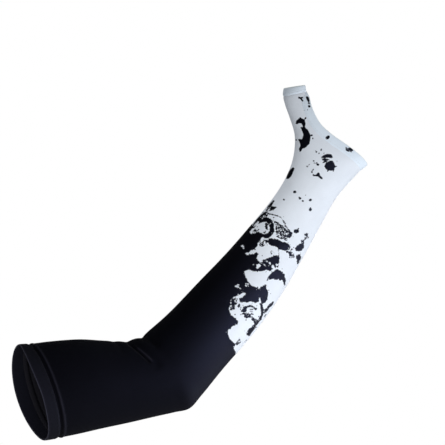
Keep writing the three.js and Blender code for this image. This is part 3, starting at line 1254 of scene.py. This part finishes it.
    def _loops(self, bench: NodeBench) -> Socket:
        """Raises the rows of small loops that the knit shows close up.

        Args:
            bench: the material's nodes.

        Returns:
            The bumped normal.
        """
        parts = bench.add("SeparateXYZ")
        bench.feed(parts.inputs[0], bench.add("UVMap", uv_map="knit").outputs[0])
        wales = bench.reckon("DIVIDE", parts.outputs[0], self.wale * MM)
        courses = bench.reckon("DIVIDE", parts.outputs[1], self.course * MM)
        rib = bench.reckon("MULTIPLY", bench.reckon("PINGPONG", wales, 0.5), 2.0)
        slant = bench.reckon("MULTIPLY_ADD", rib, self.loop_slant, courses)
        loop = bench.reckon("SINE", bench.reckon("MULTIPLY", slant, 2 * math.pi))
        bump = bench.add("Bump")
        bench.feed(bump.inputs["Strength"], self.relief)
        bench.feed(bump.inputs["Distance"], self.relief_depth * MM)
        bench.feed(bump.inputs["Height"], bench.reckon("MULTIPLY_ADD", loop, self.loop_height, rib))
        return bump.outputs[0]


@dataclass(frozen=True)
class ThreadFinish:
    """Spun sewing thread."""

    name: str
    colour: Colour
    ply_scale: float = 3200.0
    dark_ply: float = 0.8
    roughness: Pair = (0.5, 0.62)

    def material(self) -> bpy.types.Material:
        """Builds the finish.

        Returns:
            The node material.
        """
        bench = NodeBench(self.name)
        ply = bench.fleck(self.ply_scale)
        return bench.shade({
            "Base Color": bench.blend(ply, self.colour, shaded(self.colour, self.dark_ply)),
            "Roughness": bench.ramp(ply, 0.0, 1.0, *self.roughness),
        })


@dataclass(frozen=True)
class StudioFinish:
    """Smooth pale paint for the floor."""

    name: str
    colour: Colour = (0.86, 0.865, 0.87, 1.0)
    mottle_scale: float = 6.0
    mottle: float = 1.02
    roughness: float = 0.8

    def material(self) -> bpy.types.Material:
        """Builds the finish.

        Returns:
            The node material.
        """
        bench = NodeBench(self.name)
        cloudy = bench.fleck(self.mottle_scale, 3.0)
        return bench.shade({
            "Base Color": bench.blend(cloudy, self.colour, shaded(self.colour, self.mottle)),
            "Roughness": self.roughness,
        })


def deselect_all() -> None:
    """Leaves edit mode and clears the selection."""
    if bpy.context.object and bpy.context.object.mode != "OBJECT":
        bpy.ops.object.mode_set(mode="OBJECT")
    bpy.ops.object.select_all(action="DESELECT")


def select_only(piece: bpy.types.Object) -> None:
    """Selects one piece and makes it the active one."""
    deselect_all()
    piece.select_set(True)
    bpy.context.view_layer.objects.active = piece


def rolled_cloth(name: str, columns: int, rows: int) -> bpy.types.Object:
    """Adds a flat cut of knit as a grid.

    Args:
        name: the piece's name.
        columns: squares round the sleeve.
        rows: squares along it.

    Returns:
        The grid, with its UV map named knit.
    """
    deselect_all()
    bpy.ops.mesh.primitive_grid_add(x_subdivisions=columns, y_subdivisions=rows, size=1.0, calc_uvs=True)
    cloth = bpy.context.object
    cloth.name = cloth.data.name = name
    cloth.data.uv_layers[0].name = "knit"
    return cloth


def shape_cloth(cloth: bpy.types.Object, places: np.ndarray, size: np.ndarray) -> None:
    """Moves a grid's points into place and gives its UV map the knit's real size.

    Args:
        cloth: the grid.
        places: a place in millimetres for each point.
        size: the knit's own place across and along, in millimetres, for each point.
    """
    mesh = cloth.data
    mesh.vertices.foreach_set("co", (places * MM).astype(np.float32).ravel())
    corner = np.empty(len(mesh.loops), dtype=np.int32)
    mesh.loops.foreach_get("vertex_index", corner)
    mesh.uv_layers["knit"].data.foreach_set("uv", (size[corner] * MM).astype(np.float32).ravel())
    mesh.update()


def keep_on_points(cloth: bpy.types.Object, name: str, values: np.ndarray) -> None:
    """Keeps a number on each point of a mesh.

    Args:
        cloth: the piece.
        name: the number's name.
        values: one number a point.
    """
    layer = cloth.data.attributes.new(name, "FLOAT", "POINT")
    layer.data.foreach_set("value", values.astype(np.float32))


SEWN_GAP = 0.01


def sew_up(cloth: bpy.types.Object, outwards: bool = False) -> None:
    """Sews a rolled grid's meeting edges together.

    Args:
        cloth: the piece.
        outwards: whether its faces are turned outwards afterwards, for a closed piece.
    """
    select_only(cloth)
    bpy.ops.object.mode_set(mode="EDIT")
    bpy.ops.mesh.select_all(action="SELECT")
    bpy.ops.mesh.remove_doubles(threshold=SEWN_GAP * MM)
    if outwards:
        bpy.ops.mesh.normals_make_consistent(inside=False)
    bpy.ops.object.mode_set(mode="OBJECT")
    bpy.ops.object.shade_smooth()


def apply_modifier(piece: bpy.types.Object, kind: str, **settings: object) -> None:
    """Adds a modifier and applies it.

    Args:
        piece: the piece.
        kind: the modifier's type.
        **settings: what is set on it.
    """
    select_only(piece)
    modifier = piece.modifiers.new(kind.lower(), kind)
    for key, value in settings.items():
        setattr(modifier, key, value)
    bpy.ops.object.modifier_apply(modifier=modifier.name)


def finish_piece(piece: bpy.types.Object, finish: bpy.types.Material, slot: str, *nodes: str) -> None:
    """Gives a piece its finish and ties it to the frame.

    Args:
        piece: the piece.
        finish: its material.
        slot: the record's material slot; not used.
        *nodes: the solids that it stands for.
    """
    piece.data.materials.clear()
    piece.data.materials.append(finish)
    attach(piece, BODY)
    if nodes:
        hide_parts(*nodes)
    LOG.info("%s: %d faces", piece.name, len(piece.data.polygons))


@dataclass(frozen=True)
class RowRun:
    """A stretch of the knit's rows between two section numbers, with the step from row to row."""

    low: float
    high: float
    step: float


ROW_RUNS: tuple[RowRun, ...] = (
    RowRun(0.8, 1.0, 1.2),
    RowRun(1.0, 1.35, 0.6),
    RowRun(1.35, 4.0, 3.4),
    RowRun(4.0, 4.6, 2.4),
    RowRun(4.6, 7.4, 1.1),
    RowRun(7.4, 8.8, 2.0),
    RowRun(8.8, 20.0, 1.1),
    RowRun(20.0, 20.3, 0.9),
)


@dataclass
class SleeveKnit:
    """The knitted tube from the biceps seam to the thumb seam, with the print on it, in millimetres."""

    form: SleeveForm
    pattern: InkPrint
    thickness: float = 1.2
    half_girth: float = 130.0
    front_columns: int = 96
    back_columns: int = 24
    front_reach: float = 110.0
    tuck: float = 5.0
    groove: float = 1.3
    groove_breadth: float = 1.4
    ridge: float = 0.6
    ridge_place: float = 3.1
    ridge_breadth: float = 1.3
    # Where the painted highlights run: beside the biceps seam's ridge, and along the crease's crest.
    highlight_place: float = 2.9
    highlight_breadth: float = 1.0
    crest_highlight_breadth: float = 1.1
    thumb_groove: float = 0.4
    thumb_groove_breadth: float = 1.0
    hand_groove: float = 0.22
    hand_groove_breadth: float = 1.1
    seam_steps: int = 400
    seam_limit: float = 19.97
    cut_limit: float = 19.75
    outer_faces: int = field(init=False)
    piece: bpy.types.Object = field(init=False)

    def _turns(self) -> np.ndarray:
        """Spaces the columns round the sleeve, close together over the front, in radians from the front."""
        reach = self.front_reach
        side = self.back_columns // 2
        left = np.linspace(-180, -reach, side, endpoint=False)
        middle = np.linspace(-reach, reach, self.front_columns, endpoint=False)
        right = np.linspace(reach, 180, side + 1)
        return np.radians(np.concatenate((left, middle, right)))

    def _stops(self) -> np.ndarray:
        """Spaces the rows along the sleeve, as section numbers."""
        stops = []
        for run in ROW_RUNS:
            start, end = self.form.along(np.array([run.low, run.high]))
            count = max(2, math.ceil((end - start) / run.step))
            stops.append(self.form.at_length(np.linspace(start, end, count, endpoint=False)))
        return np.concatenate((*stops, [ROW_RUNS[-1].high]))

    def build(self) -> bpy.types.Object:
        """Rolls the knit into the sleeve's form, sews it and cuts the hand opening.

        Returns:
            The piece.
        """
        turns, stops = self._turns(), self._stops()
        cloth = rolled_cloth("sleeve_knit", len(turns) - 1, len(stops) - 1)
        at, turn = (v.ravel() for v in np.meshgrid(stops, turns, indexing="ij"))
        angle = turn - math.pi / 2
        length = self.form.along(at)
        from_seam = length - self.form.along(np.array(BICEPS_SEAM))
        to_thumb = self.form.along(np.array(THUMB_SEAM)) - length
        grow = self.ridge * bell(from_seam - self.ridge_place, self.ridge_breadth)
        grow -= self.groove * bell(np.maximum(from_seam, 0.0), self.groove_breadth)
        grow -= self.thumb_groove * bell(np.maximum(to_thumb, 0.0), self.thumb_groove_breadth)
        grow -= self._hand_groove(at, angle)
        places, _ = self.form.points(at, angle, grow)
        shape_cloth(cloth, places, np.stack((turn / math.pi * self.half_girth, length), axis=1))
        for name, values in self.pattern.lay(self.form, at, angle).items():
            keep_on_points(cloth, name, values)
        # Painted highlight: the crease's crest, on the front only, and the ridge beside the biceps seam are
        # drawn lighter through the fold attribute.
        crest_highlight = bell(distance_to_line(places[:, 0], places[:, 2], CREST_HIGHLIGHT), self.crest_highlight_breadth)
        seam_highlight = bell(from_seam - self.highlight_place, self.highlight_breadth)
        keep_on_points(cloth, "fold", np.where(places[:, 1] < 0, crest_highlight, 0.0) + seam_highlight)
        self._cut_hand(cloth, at, angle)
        sew_up(cloth)
        self.outer_faces = len(cloth.data.polygons)
        apply_modifier(cloth, "SOLIDIFY", thickness=self.thickness * MM, offset=-1.0, use_even_offset=False)
        bpy.ops.object.shade_smooth()
        self.piece = cloth
        return cloth

    def _hand_groove(self, at: np.ndarray, angle: np.ndarray) -> np.ndarray:
        """Sinks the knit a little along the hand hem's seam.

        Args:
            at: section numbers.
            angle: angles round the ring.

        Returns:
            Millimetres inwards.
        """
        walk = np.linspace(0, 2 * math.pi, self.seam_steps)
        seam = HandLine.inside_edge(self.form, HAND_HEM_WIDTH).loop(walk, self.seam_limit)
        line, _ = self.form.points(*seam, np.zeros(len(walk)))
        near = np.flatnonzero(at > HAND_SEARCH[0])
        spots, _ = self.form.points(at[near], angle[near], np.zeros(len(near)))
        away = np.full(len(near), np.inf)
        for place in line:
            away = np.minimum(away, np.linalg.norm(spots - place, axis=1))
        sink = np.zeros(len(at))
        sink[near] = self.hand_groove * bell(away, self.hand_groove_breadth)
        return sink

    def _cut_hand(self, cloth: bpy.types.Object, at: np.ndarray, angle: np.ndarray) -> None:
        """Cuts the hand opening, a little past the seam so that the edge is tucked into the hem.

        Args:
            cloth: the rolled grid.
            at: each point's section number.
            angle: each point's angle.
        """
        line = HandLine.inside_edge(self.form, HAND_HEM_WIDTH - self.tuck)
        low, high = line.ends(self.cut_limit)
        limit = np.interp(at, line.at, line.share)
        beyond = (at > low) & (at < high) & (np.cos(angle) > limit)
        select_only(cloth)
        bpy.ops.object.mode_set(mode="EDIT")
        bpy.ops.mesh.select_mode(type="VERT")
        bpy.ops.mesh.select_all(action="DESELECT")
        bpy.ops.object.mode_set(mode="OBJECT")
        cloth.data.vertices.foreach_set("select", beyond)
        bpy.ops.object.mode_set(mode="EDIT")
        bpy.ops.mesh.delete(type="VERT")
        bpy.ops.object.mode_set(mode="OBJECT")

    def dress(self, finish: bpy.types.Material, inside: bpy.types.Material) -> None:
        """Gives the tube its printed finish outside and its plain one inside.

        Args:
            finish: the outer face's material.
            inside: the inner face's material.
        """
        nodes = ("upper_arm", "elbow", "forearm_top", "forearm_low", "wrist", "hand")
        finish_piece(self.piece, finish, "printed_knit", *nodes)
        self.piece.data.materials.append(inside)
        face = np.arange(len(self.piece.data.polygons))
        inner = (face >= self.outer_faces) & (face < 2 * self.outer_faces)
        self.piece.data.polygons.foreach_set("material_index", inner.astype(np.int32))


@dataclass
class StitchRow:
    """A row of stitches that sews a hem down, in millimetres."""

    form: SleeveForm
    name: str
    slot: str
    line: Line
    lift: float
    pitch: float = 3.0
    length: float = 2.2
    thick: float = 0.34
    sides: int = 6
    cuts: tuple[float, ...] = (-0.25, 0.0, 0.25)
    dip: float = 0.55
    taper: float = 0.35
    look_ahead: float = 0.3
    piece: bpy.types.Object = field(init=False)

    def build(self) -> bpy.types.Object:
        """Models one stitch and sets its copies along the seam.

        Returns:
            The row as one piece.
        """
        places, outs = self.form.points(*self.line, np.full(len(self.line[0]), self.lift))
        walked = np.concatenate(([0.0], np.cumsum(np.linalg.norm(np.diff(places, axis=0), axis=1))))
        count = round(walked[-1] / self.pitch)
        stitch = self._one_stitch()
        copies = []
        for i in range(count):
            middle = walked[-1] * (i + 0.5) / count
            here, ahead = (self._read(walked, places, middle + side * self.look_ahead) for side in (-1, 1))
            along = Vector(ahead - here).normalized()
            out = Vector(self._read(walked, outs, middle))
            aside = out.cross(along).normalized()
            turn = Matrix((along, aside, along.cross(aside))).transposed().to_4x4()
            copy = stitch.copy()
            copy.data = stitch.data.copy()
            copy.matrix_world = Matrix.Translation(Vector((here + ahead) / 2 * MM)) @ turn
            bpy.context.collection.objects.link(copy)
            copies.append(copy)
        bpy.data.objects.remove(stitch)
        deselect_all()
        for copy in copies:
            copy.select_set(True)
        bpy.context.view_layer.objects.active = copies[0]
        bpy.ops.object.join()
        bpy.ops.object.transform_apply(location=True, rotation=True, scale=True)
        bpy.ops.object.shade_smooth()
        self.piece = bpy.context.object
        self.piece.name = self.piece.data.name = self.name
        return self.piece

    @staticmethod
    def _read(walked: np.ndarray, values: np.ndarray, length: float) -> np.ndarray:
        """Reads places or directions at a length along the row."""
        return np.array([np.interp(length, walked, values[:, i]) for i in range(3)])

    def _one_stitch(self) -> bpy.types.Object:
        """Models one stitch: a short bow of thread that dips into the knit at both ends.

        Returns:
            The stitch, along X, at the origin.
        """
        deselect_all()
        bpy.ops.mesh.primitive_cylinder_add(
            vertices=self.sides, radius=self.thick / 2 * MM, depth=self.length * MM,
            rotation=(0.0, math.pi / 2, 0.0),
        )
        stitch = bpy.context.object
        bpy.ops.object.transform_apply(location=True, rotation=True, scale=True)
        bpy.ops.object.mode_set(mode="EDIT")
        for cut in self.cuts:
            bpy.ops.mesh.select_all(action="SELECT")
            bpy.ops.mesh.bisect(plane_co=(cut * self.length * MM, 0.0, 0.0), plane_no=(1.0, 0.0, 0.0))
        bpy.ops.object.mode_set(mode="OBJECT")
        for vertex in stitch.data.vertices:
            reach = abs(vertex.co.x) / (self.length * MM / 2)
            vertex.co.z -= self.dip * self.thick * MM * reach**2
            vertex.co.y *= 1.0 - self.taper * reach**2
        return stitch

    def dress(self, finish: bpy.types.Material) -> None:
        """Gives the row its thread."""
        finish_piece(self.piece, finish, self.slot)


INNER_LAYER: tuple[Pair, ...] = (
    (0.99, 0.0), (1.0, -0.6), (0.99, -1.2), (0.93, -1.56), (0.8, -1.68), (0.5, -1.7), (0.2, -1.68),
    (0.07, -1.5), (0.0, -1.25),
)

HEM_PROFILE: tuple[Pair, ...] = (
    (-0.02, -0.75), (0.015, -0.2), (0.07, 0.32), (0.2, 0.5), (0.5, 0.55), (0.8, 0.5), (0.93, 0.36),
    *INNER_LAYER,
)

SOFT_PROFILE: tuple[Pair, ...] = (
    (-0.02, -0.35), (0.03, 0.0), (0.11, 0.2), (0.2, 0.33), (0.3, 0.42), (0.4, 0.47), (0.5, 0.5), (0.6, 0.51),
    (0.7, 0.51), (0.8, 0.5), (0.88, 0.44), (0.95, 0.3),
    *INNER_LAYER,
)


@dataclass
class Hem:
    """A folded hem: its seam and free edge as lines on the sleeve, and its profile from the one to the other.

    The profile has shares of the way from seam to edge, and millimetres outside the knit's face.
    """

    form: SleeveForm
    opening: str
    slot: str
    seam: Line
    edge: Line
    profile: tuple[Pair, ...]
    stitch_share: float
    stitch_lift: float
    pattern: InkPrint | None = None
    width: float = 10.0
    girth: float = 240.0
    # Painted highlight: the shares of the way to the free edge over which the rim is drawn lighter.
    rim_highlight: Pair = (0.92, 0.98)
    inner_face: float = -1.3
    # The hem's inner layer is drawn lighter by this share.
    inner_lighter: float = 0.3
    piece: bpy.types.Object = field(init=False)

    def build(self) -> bpy.types.Object:
        """Folds the hem: its outer layer, the fold at the free edge and the inner layer.

        Returns:
            The piece.
        """
        profile = np.array((*self.profile, self.profile[0]))
        rings, columns = len(profile), len(self.seam[0])
        cloth = rolled_cloth(f"{self.opening}_hem_band", columns - 1, rings - 1)
        share, grow = (np.repeat(profile[:, i], columns) for i in (0, 1))
        at0, angle0 = (np.tile(v, rings) for v in self.seam)
        at1, angle1 = (np.tile(v, rings) for v in self.edge)
        at = np.clip(at0 + share * (at1 - at0), 0.0, self.form.last)
        angle = angle0 + share * (angle1 - angle0)
        places, _ = self.form.points(at, angle, grow)
        steps = np.hypot(np.diff(profile[:, 0]) * self.width, np.diff(profile[:, 1]))
        walked = np.repeat(np.concatenate(([0.0], np.cumsum(steps))), columns)
        round_rim = np.tile(np.linspace(0, 1, columns), rings) * self.girth
        shape_cloth(cloth, places, np.stack((round_rim, walked), axis=1))
        # Painted highlight along the free edge, kept in the fold attribute, with the inner layer drawn
        # lighter too.
        inner = np.where(grow < self.inner_face, self.inner_lighter, 0.0)
        keep_on_points(cloth, "fold", np.maximum(smooth_step(share, *self.rim_highlight), inner))
        if self.pattern is not None:
            for name, values in self.pattern.lay(self.form, at, angle).items():
                keep_on_points(cloth, name, values if name != "loose" else np.zeros(len(at)))
        sew_up(cloth, outwards=True)
        apply_modifier(cloth, "SUBSURF", levels=1, render_levels=1)
        bpy.ops.object.shade_smooth()
        self.piece = cloth
        return cloth

    def stitch_row(self) -> StitchRow:
        """Gives the row of stitches that sews the hem down, a share of the way from its seam to its edge."""
        at, angle = (seam + self.stitch_share * (edge - seam) for seam, edge in zip(self.seam, self.edge))
        return StitchRow(self.form, f"{self.opening}_stitches", self.slot, (at, angle), self.stitch_lift)

    def dress(self, finish: bpy.types.Material) -> None:
        """Gives the hem its finish."""
        finish_piece(self.piece, finish, self.slot, f"{self.opening}_hem")


@dataclass(frozen=True)
class SoftLight:
    """A soft light of the studio, in metres, watts and degrees."""

    name: str
    place: tuple[float, float, float]
    aim: tuple[float, float, float]
    size: float
    power: float
    colour: tuple[float, float, float] = (1.0, 1.0, 1.0)
    spread: float = 180.0
    shines: bool = True
    fills: bool = True

    def hang(self) -> None:
        """Hangs the light and turns it to what it lights."""
        data = bpy.data.lights.new(self.name, "AREA")
        data.shape = "DISK"
        data.size = self.size
        data.energy = self.power
        data.color = self.colour
        data.spread = math.radians(self.spread)
        lamp = bpy.data.objects.new(self.name, data)
        lamp.location = self.place
        lamp.rotation_euler = (Vector(self.aim) - Vector(self.place)).to_track_quat("-Z", "Y").to_euler()
        lamp.visible_camera = False
        lamp.visible_glossy = self.shines
        lamp.visible_diffuse = self.fills
        bpy.context.collection.objects.link(lamp)


COOL = (0.86, 0.9, 1.0)


@dataclass
class Studio:
    """The camera, the soft light and the pale floor, in metres."""

    middle: tuple[float, float, float] = (0.2103, 0.0, 0.1772)
    distance: float = 6.0
    lens: float = 462.3
    sensor: float = 36.0
    sight: float = 40.0
    floor_drop: float = 0.9
    floor_radius: float = 3.0
    floor_thick: float = 0.04
    floor_rim: float = 0.01
    floor_sides: int = 96
    ambient: float = 0.43
    gloss: float = 0.0085
    lights: tuple[SoftLight, ...] = (
        SoftLight("side", (1.5, -0.5, -0.15), (0.2, 0.0, 0.15), 1.0, 2.6, COOL, shines=False),
        SoftLight("gloss", (1.6, 0.0, -0.4), (0.18, 0.0, 0.1), 1.6, 8.4, COOL, fills=False),
        SoftLight("sheen", (0.75, -0.5, 0.05), (0.25, -0.03, 0.145), 0.3, 0.16, COOL, 16.0, fills=False),
        SoftLight("front", (0.6, -0.9, -0.45), (0.22, 0.0, 0.02), 0.7, 1.68, spread=70.0, shines=False),
        SoftLight("fill", (-0.9, -0.6, 0.2), (0.27, 0.0, 0.185), 0.05, 0.0095, spread=7.5, shines=False),
        SoftLight("back", (0.6, 2.4, 0.6), (0.2, 0.0, 0.15), 2.0, 14.0, shines=False),
    )

    def set_up(self) -> None:
        """Places the camera, the lights, the world's light and the floor."""
        camera = bpy.data.objects.new("camera", bpy.data.cameras.new("camera"))
        camera.data.lens = self.lens
        camera.data.sensor_width = self.sensor
        camera.data.clip_end = self.sight
        ahead = Vector((math.sin(VIEW_TURN), math.cos(VIEW_TURN), 0.0))
        camera.location = Vector(self.middle) - self.distance * ahead
        camera.rotation_euler = (math.pi / 2, 0.0, -VIEW_TURN)
        bpy.context.collection.objects.link(camera)
        bpy.context.scene.camera = camera
        for light in self.lights:
            light.hang()
        self._world()
        self._floor()
        bpy.context.scene.view_settings.view_transform = "Standard"

    def _world(self) -> None:
        """Makes a white backdrop that lights the object more softly than it shows."""
        world = bpy.data.worlds.new("studio")
        bpy.context.scene.world = world
        world.use_nodes = True
        nodes, links = world.node_tree.nodes, world.node_tree.links
        glow = nodes["Background"]
        path = nodes.new("ShaderNodeLightPath")
        source: Socket | None = None
        for ray, high in (("Is Glossy Ray", self.gloss), ("Is Camera Ray", 1.0)):
            level = nodes.new("ShaderNodeMix")
            level.inputs[2].default_value = self.ambient
            level.inputs[3].default_value = high
            links.new(path.outputs[ray], level.inputs[0])
            if source is not None:
                links.new(source, level.inputs[2])
            source = level.outputs[0]
        links.new(source, glow.inputs["Strength"])
        glow.inputs["Color"].default_value = (1.0, 1.0, 1.0, 1.0)

    def _floor(self) -> None:
        """Lays the floor, a wide disc with a rounded rim."""
        deselect_all()
        height = CAD_BOX[0][2] - self.floor_drop - self.floor_thick / 2
        bpy.ops.mesh.primitive_cylinder_add(
            vertices=self.floor_sides, radius=self.floor_radius, depth=self.floor_thick,
            location=(self.middle[0], 0.0, height),
        )
        floor = bpy.context.object
        floor.name = floor.data.name = "studio_floor"
        bpy.ops.object.transform_apply(location=True, rotation=True, scale=True)
        apply_modifier(floor, "BEVEL", width=self.floor_rim, segments=3)
        floor.data.materials.append(StudioFinish("pale_floor").material())
        floor.visible_glossy = False


def ring_line(at: float, columns: int) -> Line:
    """Gives a ring at one section, from the back round by the front.

    Args:
        at: the section number.
        columns: steps round the ring.

    Returns:
        Section numbers and angles.
    """
    turns = np.linspace(-math.pi, math.pi, columns + 1) - math.pi / 2
    return np.full(columns + 1, at), turns


BICEPS_STITCHES: Pair = (0.2, 0.53)
WHITE_STITCHES: Pair = (0.24, 0.38)


def cut_hems(form: SleeveForm) -> tuple[Hem, ...]:
    """Sets out the hems of the three openings.

    Args:
        form: the worn sleeve's form.

    Returns:
        The biceps hem, the hand hem and the thumb hem, not yet built.
    """
    walk = np.linspace(0, 2 * math.pi, HAND_COLUMNS + 1)
    hand_seam = HandLine.inside_edge(form, HAND_HEM_WIDTH).loop(walk, HAND_SEAM_LIMIT)
    hand_edge = HandLine.inside_edge(form, 0.0).loop(walk, HAND_EDGE_LIMIT)
    biceps = (ring_line(at, BICEPS_COLUMNS) for at in BICEPS_HEM)
    thumb = (ring_line(at, THUMB_COLUMNS) for at in THUMB_HEM)
    return (
        Hem(form, "biceps", "black_hem", *biceps, HEM_PROFILE, *BICEPS_STITCHES),
        Hem(form, "hand", "white_hem", hand_seam, hand_edge, SOFT_PROFILE, *WHITE_STITCHES, PRINT),
        Hem(form, "thumb", "white_hem", *thumb, SOFT_PROFILE, *WHITE_STITCHES, PRINT),
    )


def main() -> None:
    """Builds the sleeve's pieces in order, dresses them and sets up the studio."""
    logging.basicConfig(level=logging.INFO, format="%(name)s %(message)s")
    form = SleeveForm(SECTIONS, CREASES)
    # Each knit draws a painted highlight where the fold attribute is set; the hems' black one 9 times
    # lighter.
    knitted = KnitFinish("printed_knit")
    white = KnitFinish("white_knit", bare=(0.755, 0.85, 0.945, 1.0)).material()
    black = KnitFinish("black_knit", ink=(0.0062, 0.0062, 0.0088, 1.0), printed=False, worn=9.0).material()
    white_thread = ThreadFinish("white_thread", (0.74, 0.79, 0.86, 1.0)).material()
    black_thread = ThreadFinish("black_thread", (0.007, 0.007, 0.010, 1.0)).material()

    knit = SleeveKnit(form, PRINT)
    knit.build()
    knit.dress(knitted.material(), knitted.inside())

    hems = cut_hems(form)
    rows = tuple(hem.stitch_row() for hem in hems)
    for hem, row in zip(hems, rows):
        is_black = hem.slot == "black_hem"
        hem.build()
        hem.dress(black if is_black else white)
        row.build()
        row.dress(black_thread if is_black else white_thread)

    Studio().set_up()


if __name__ == "__main__":
    main()
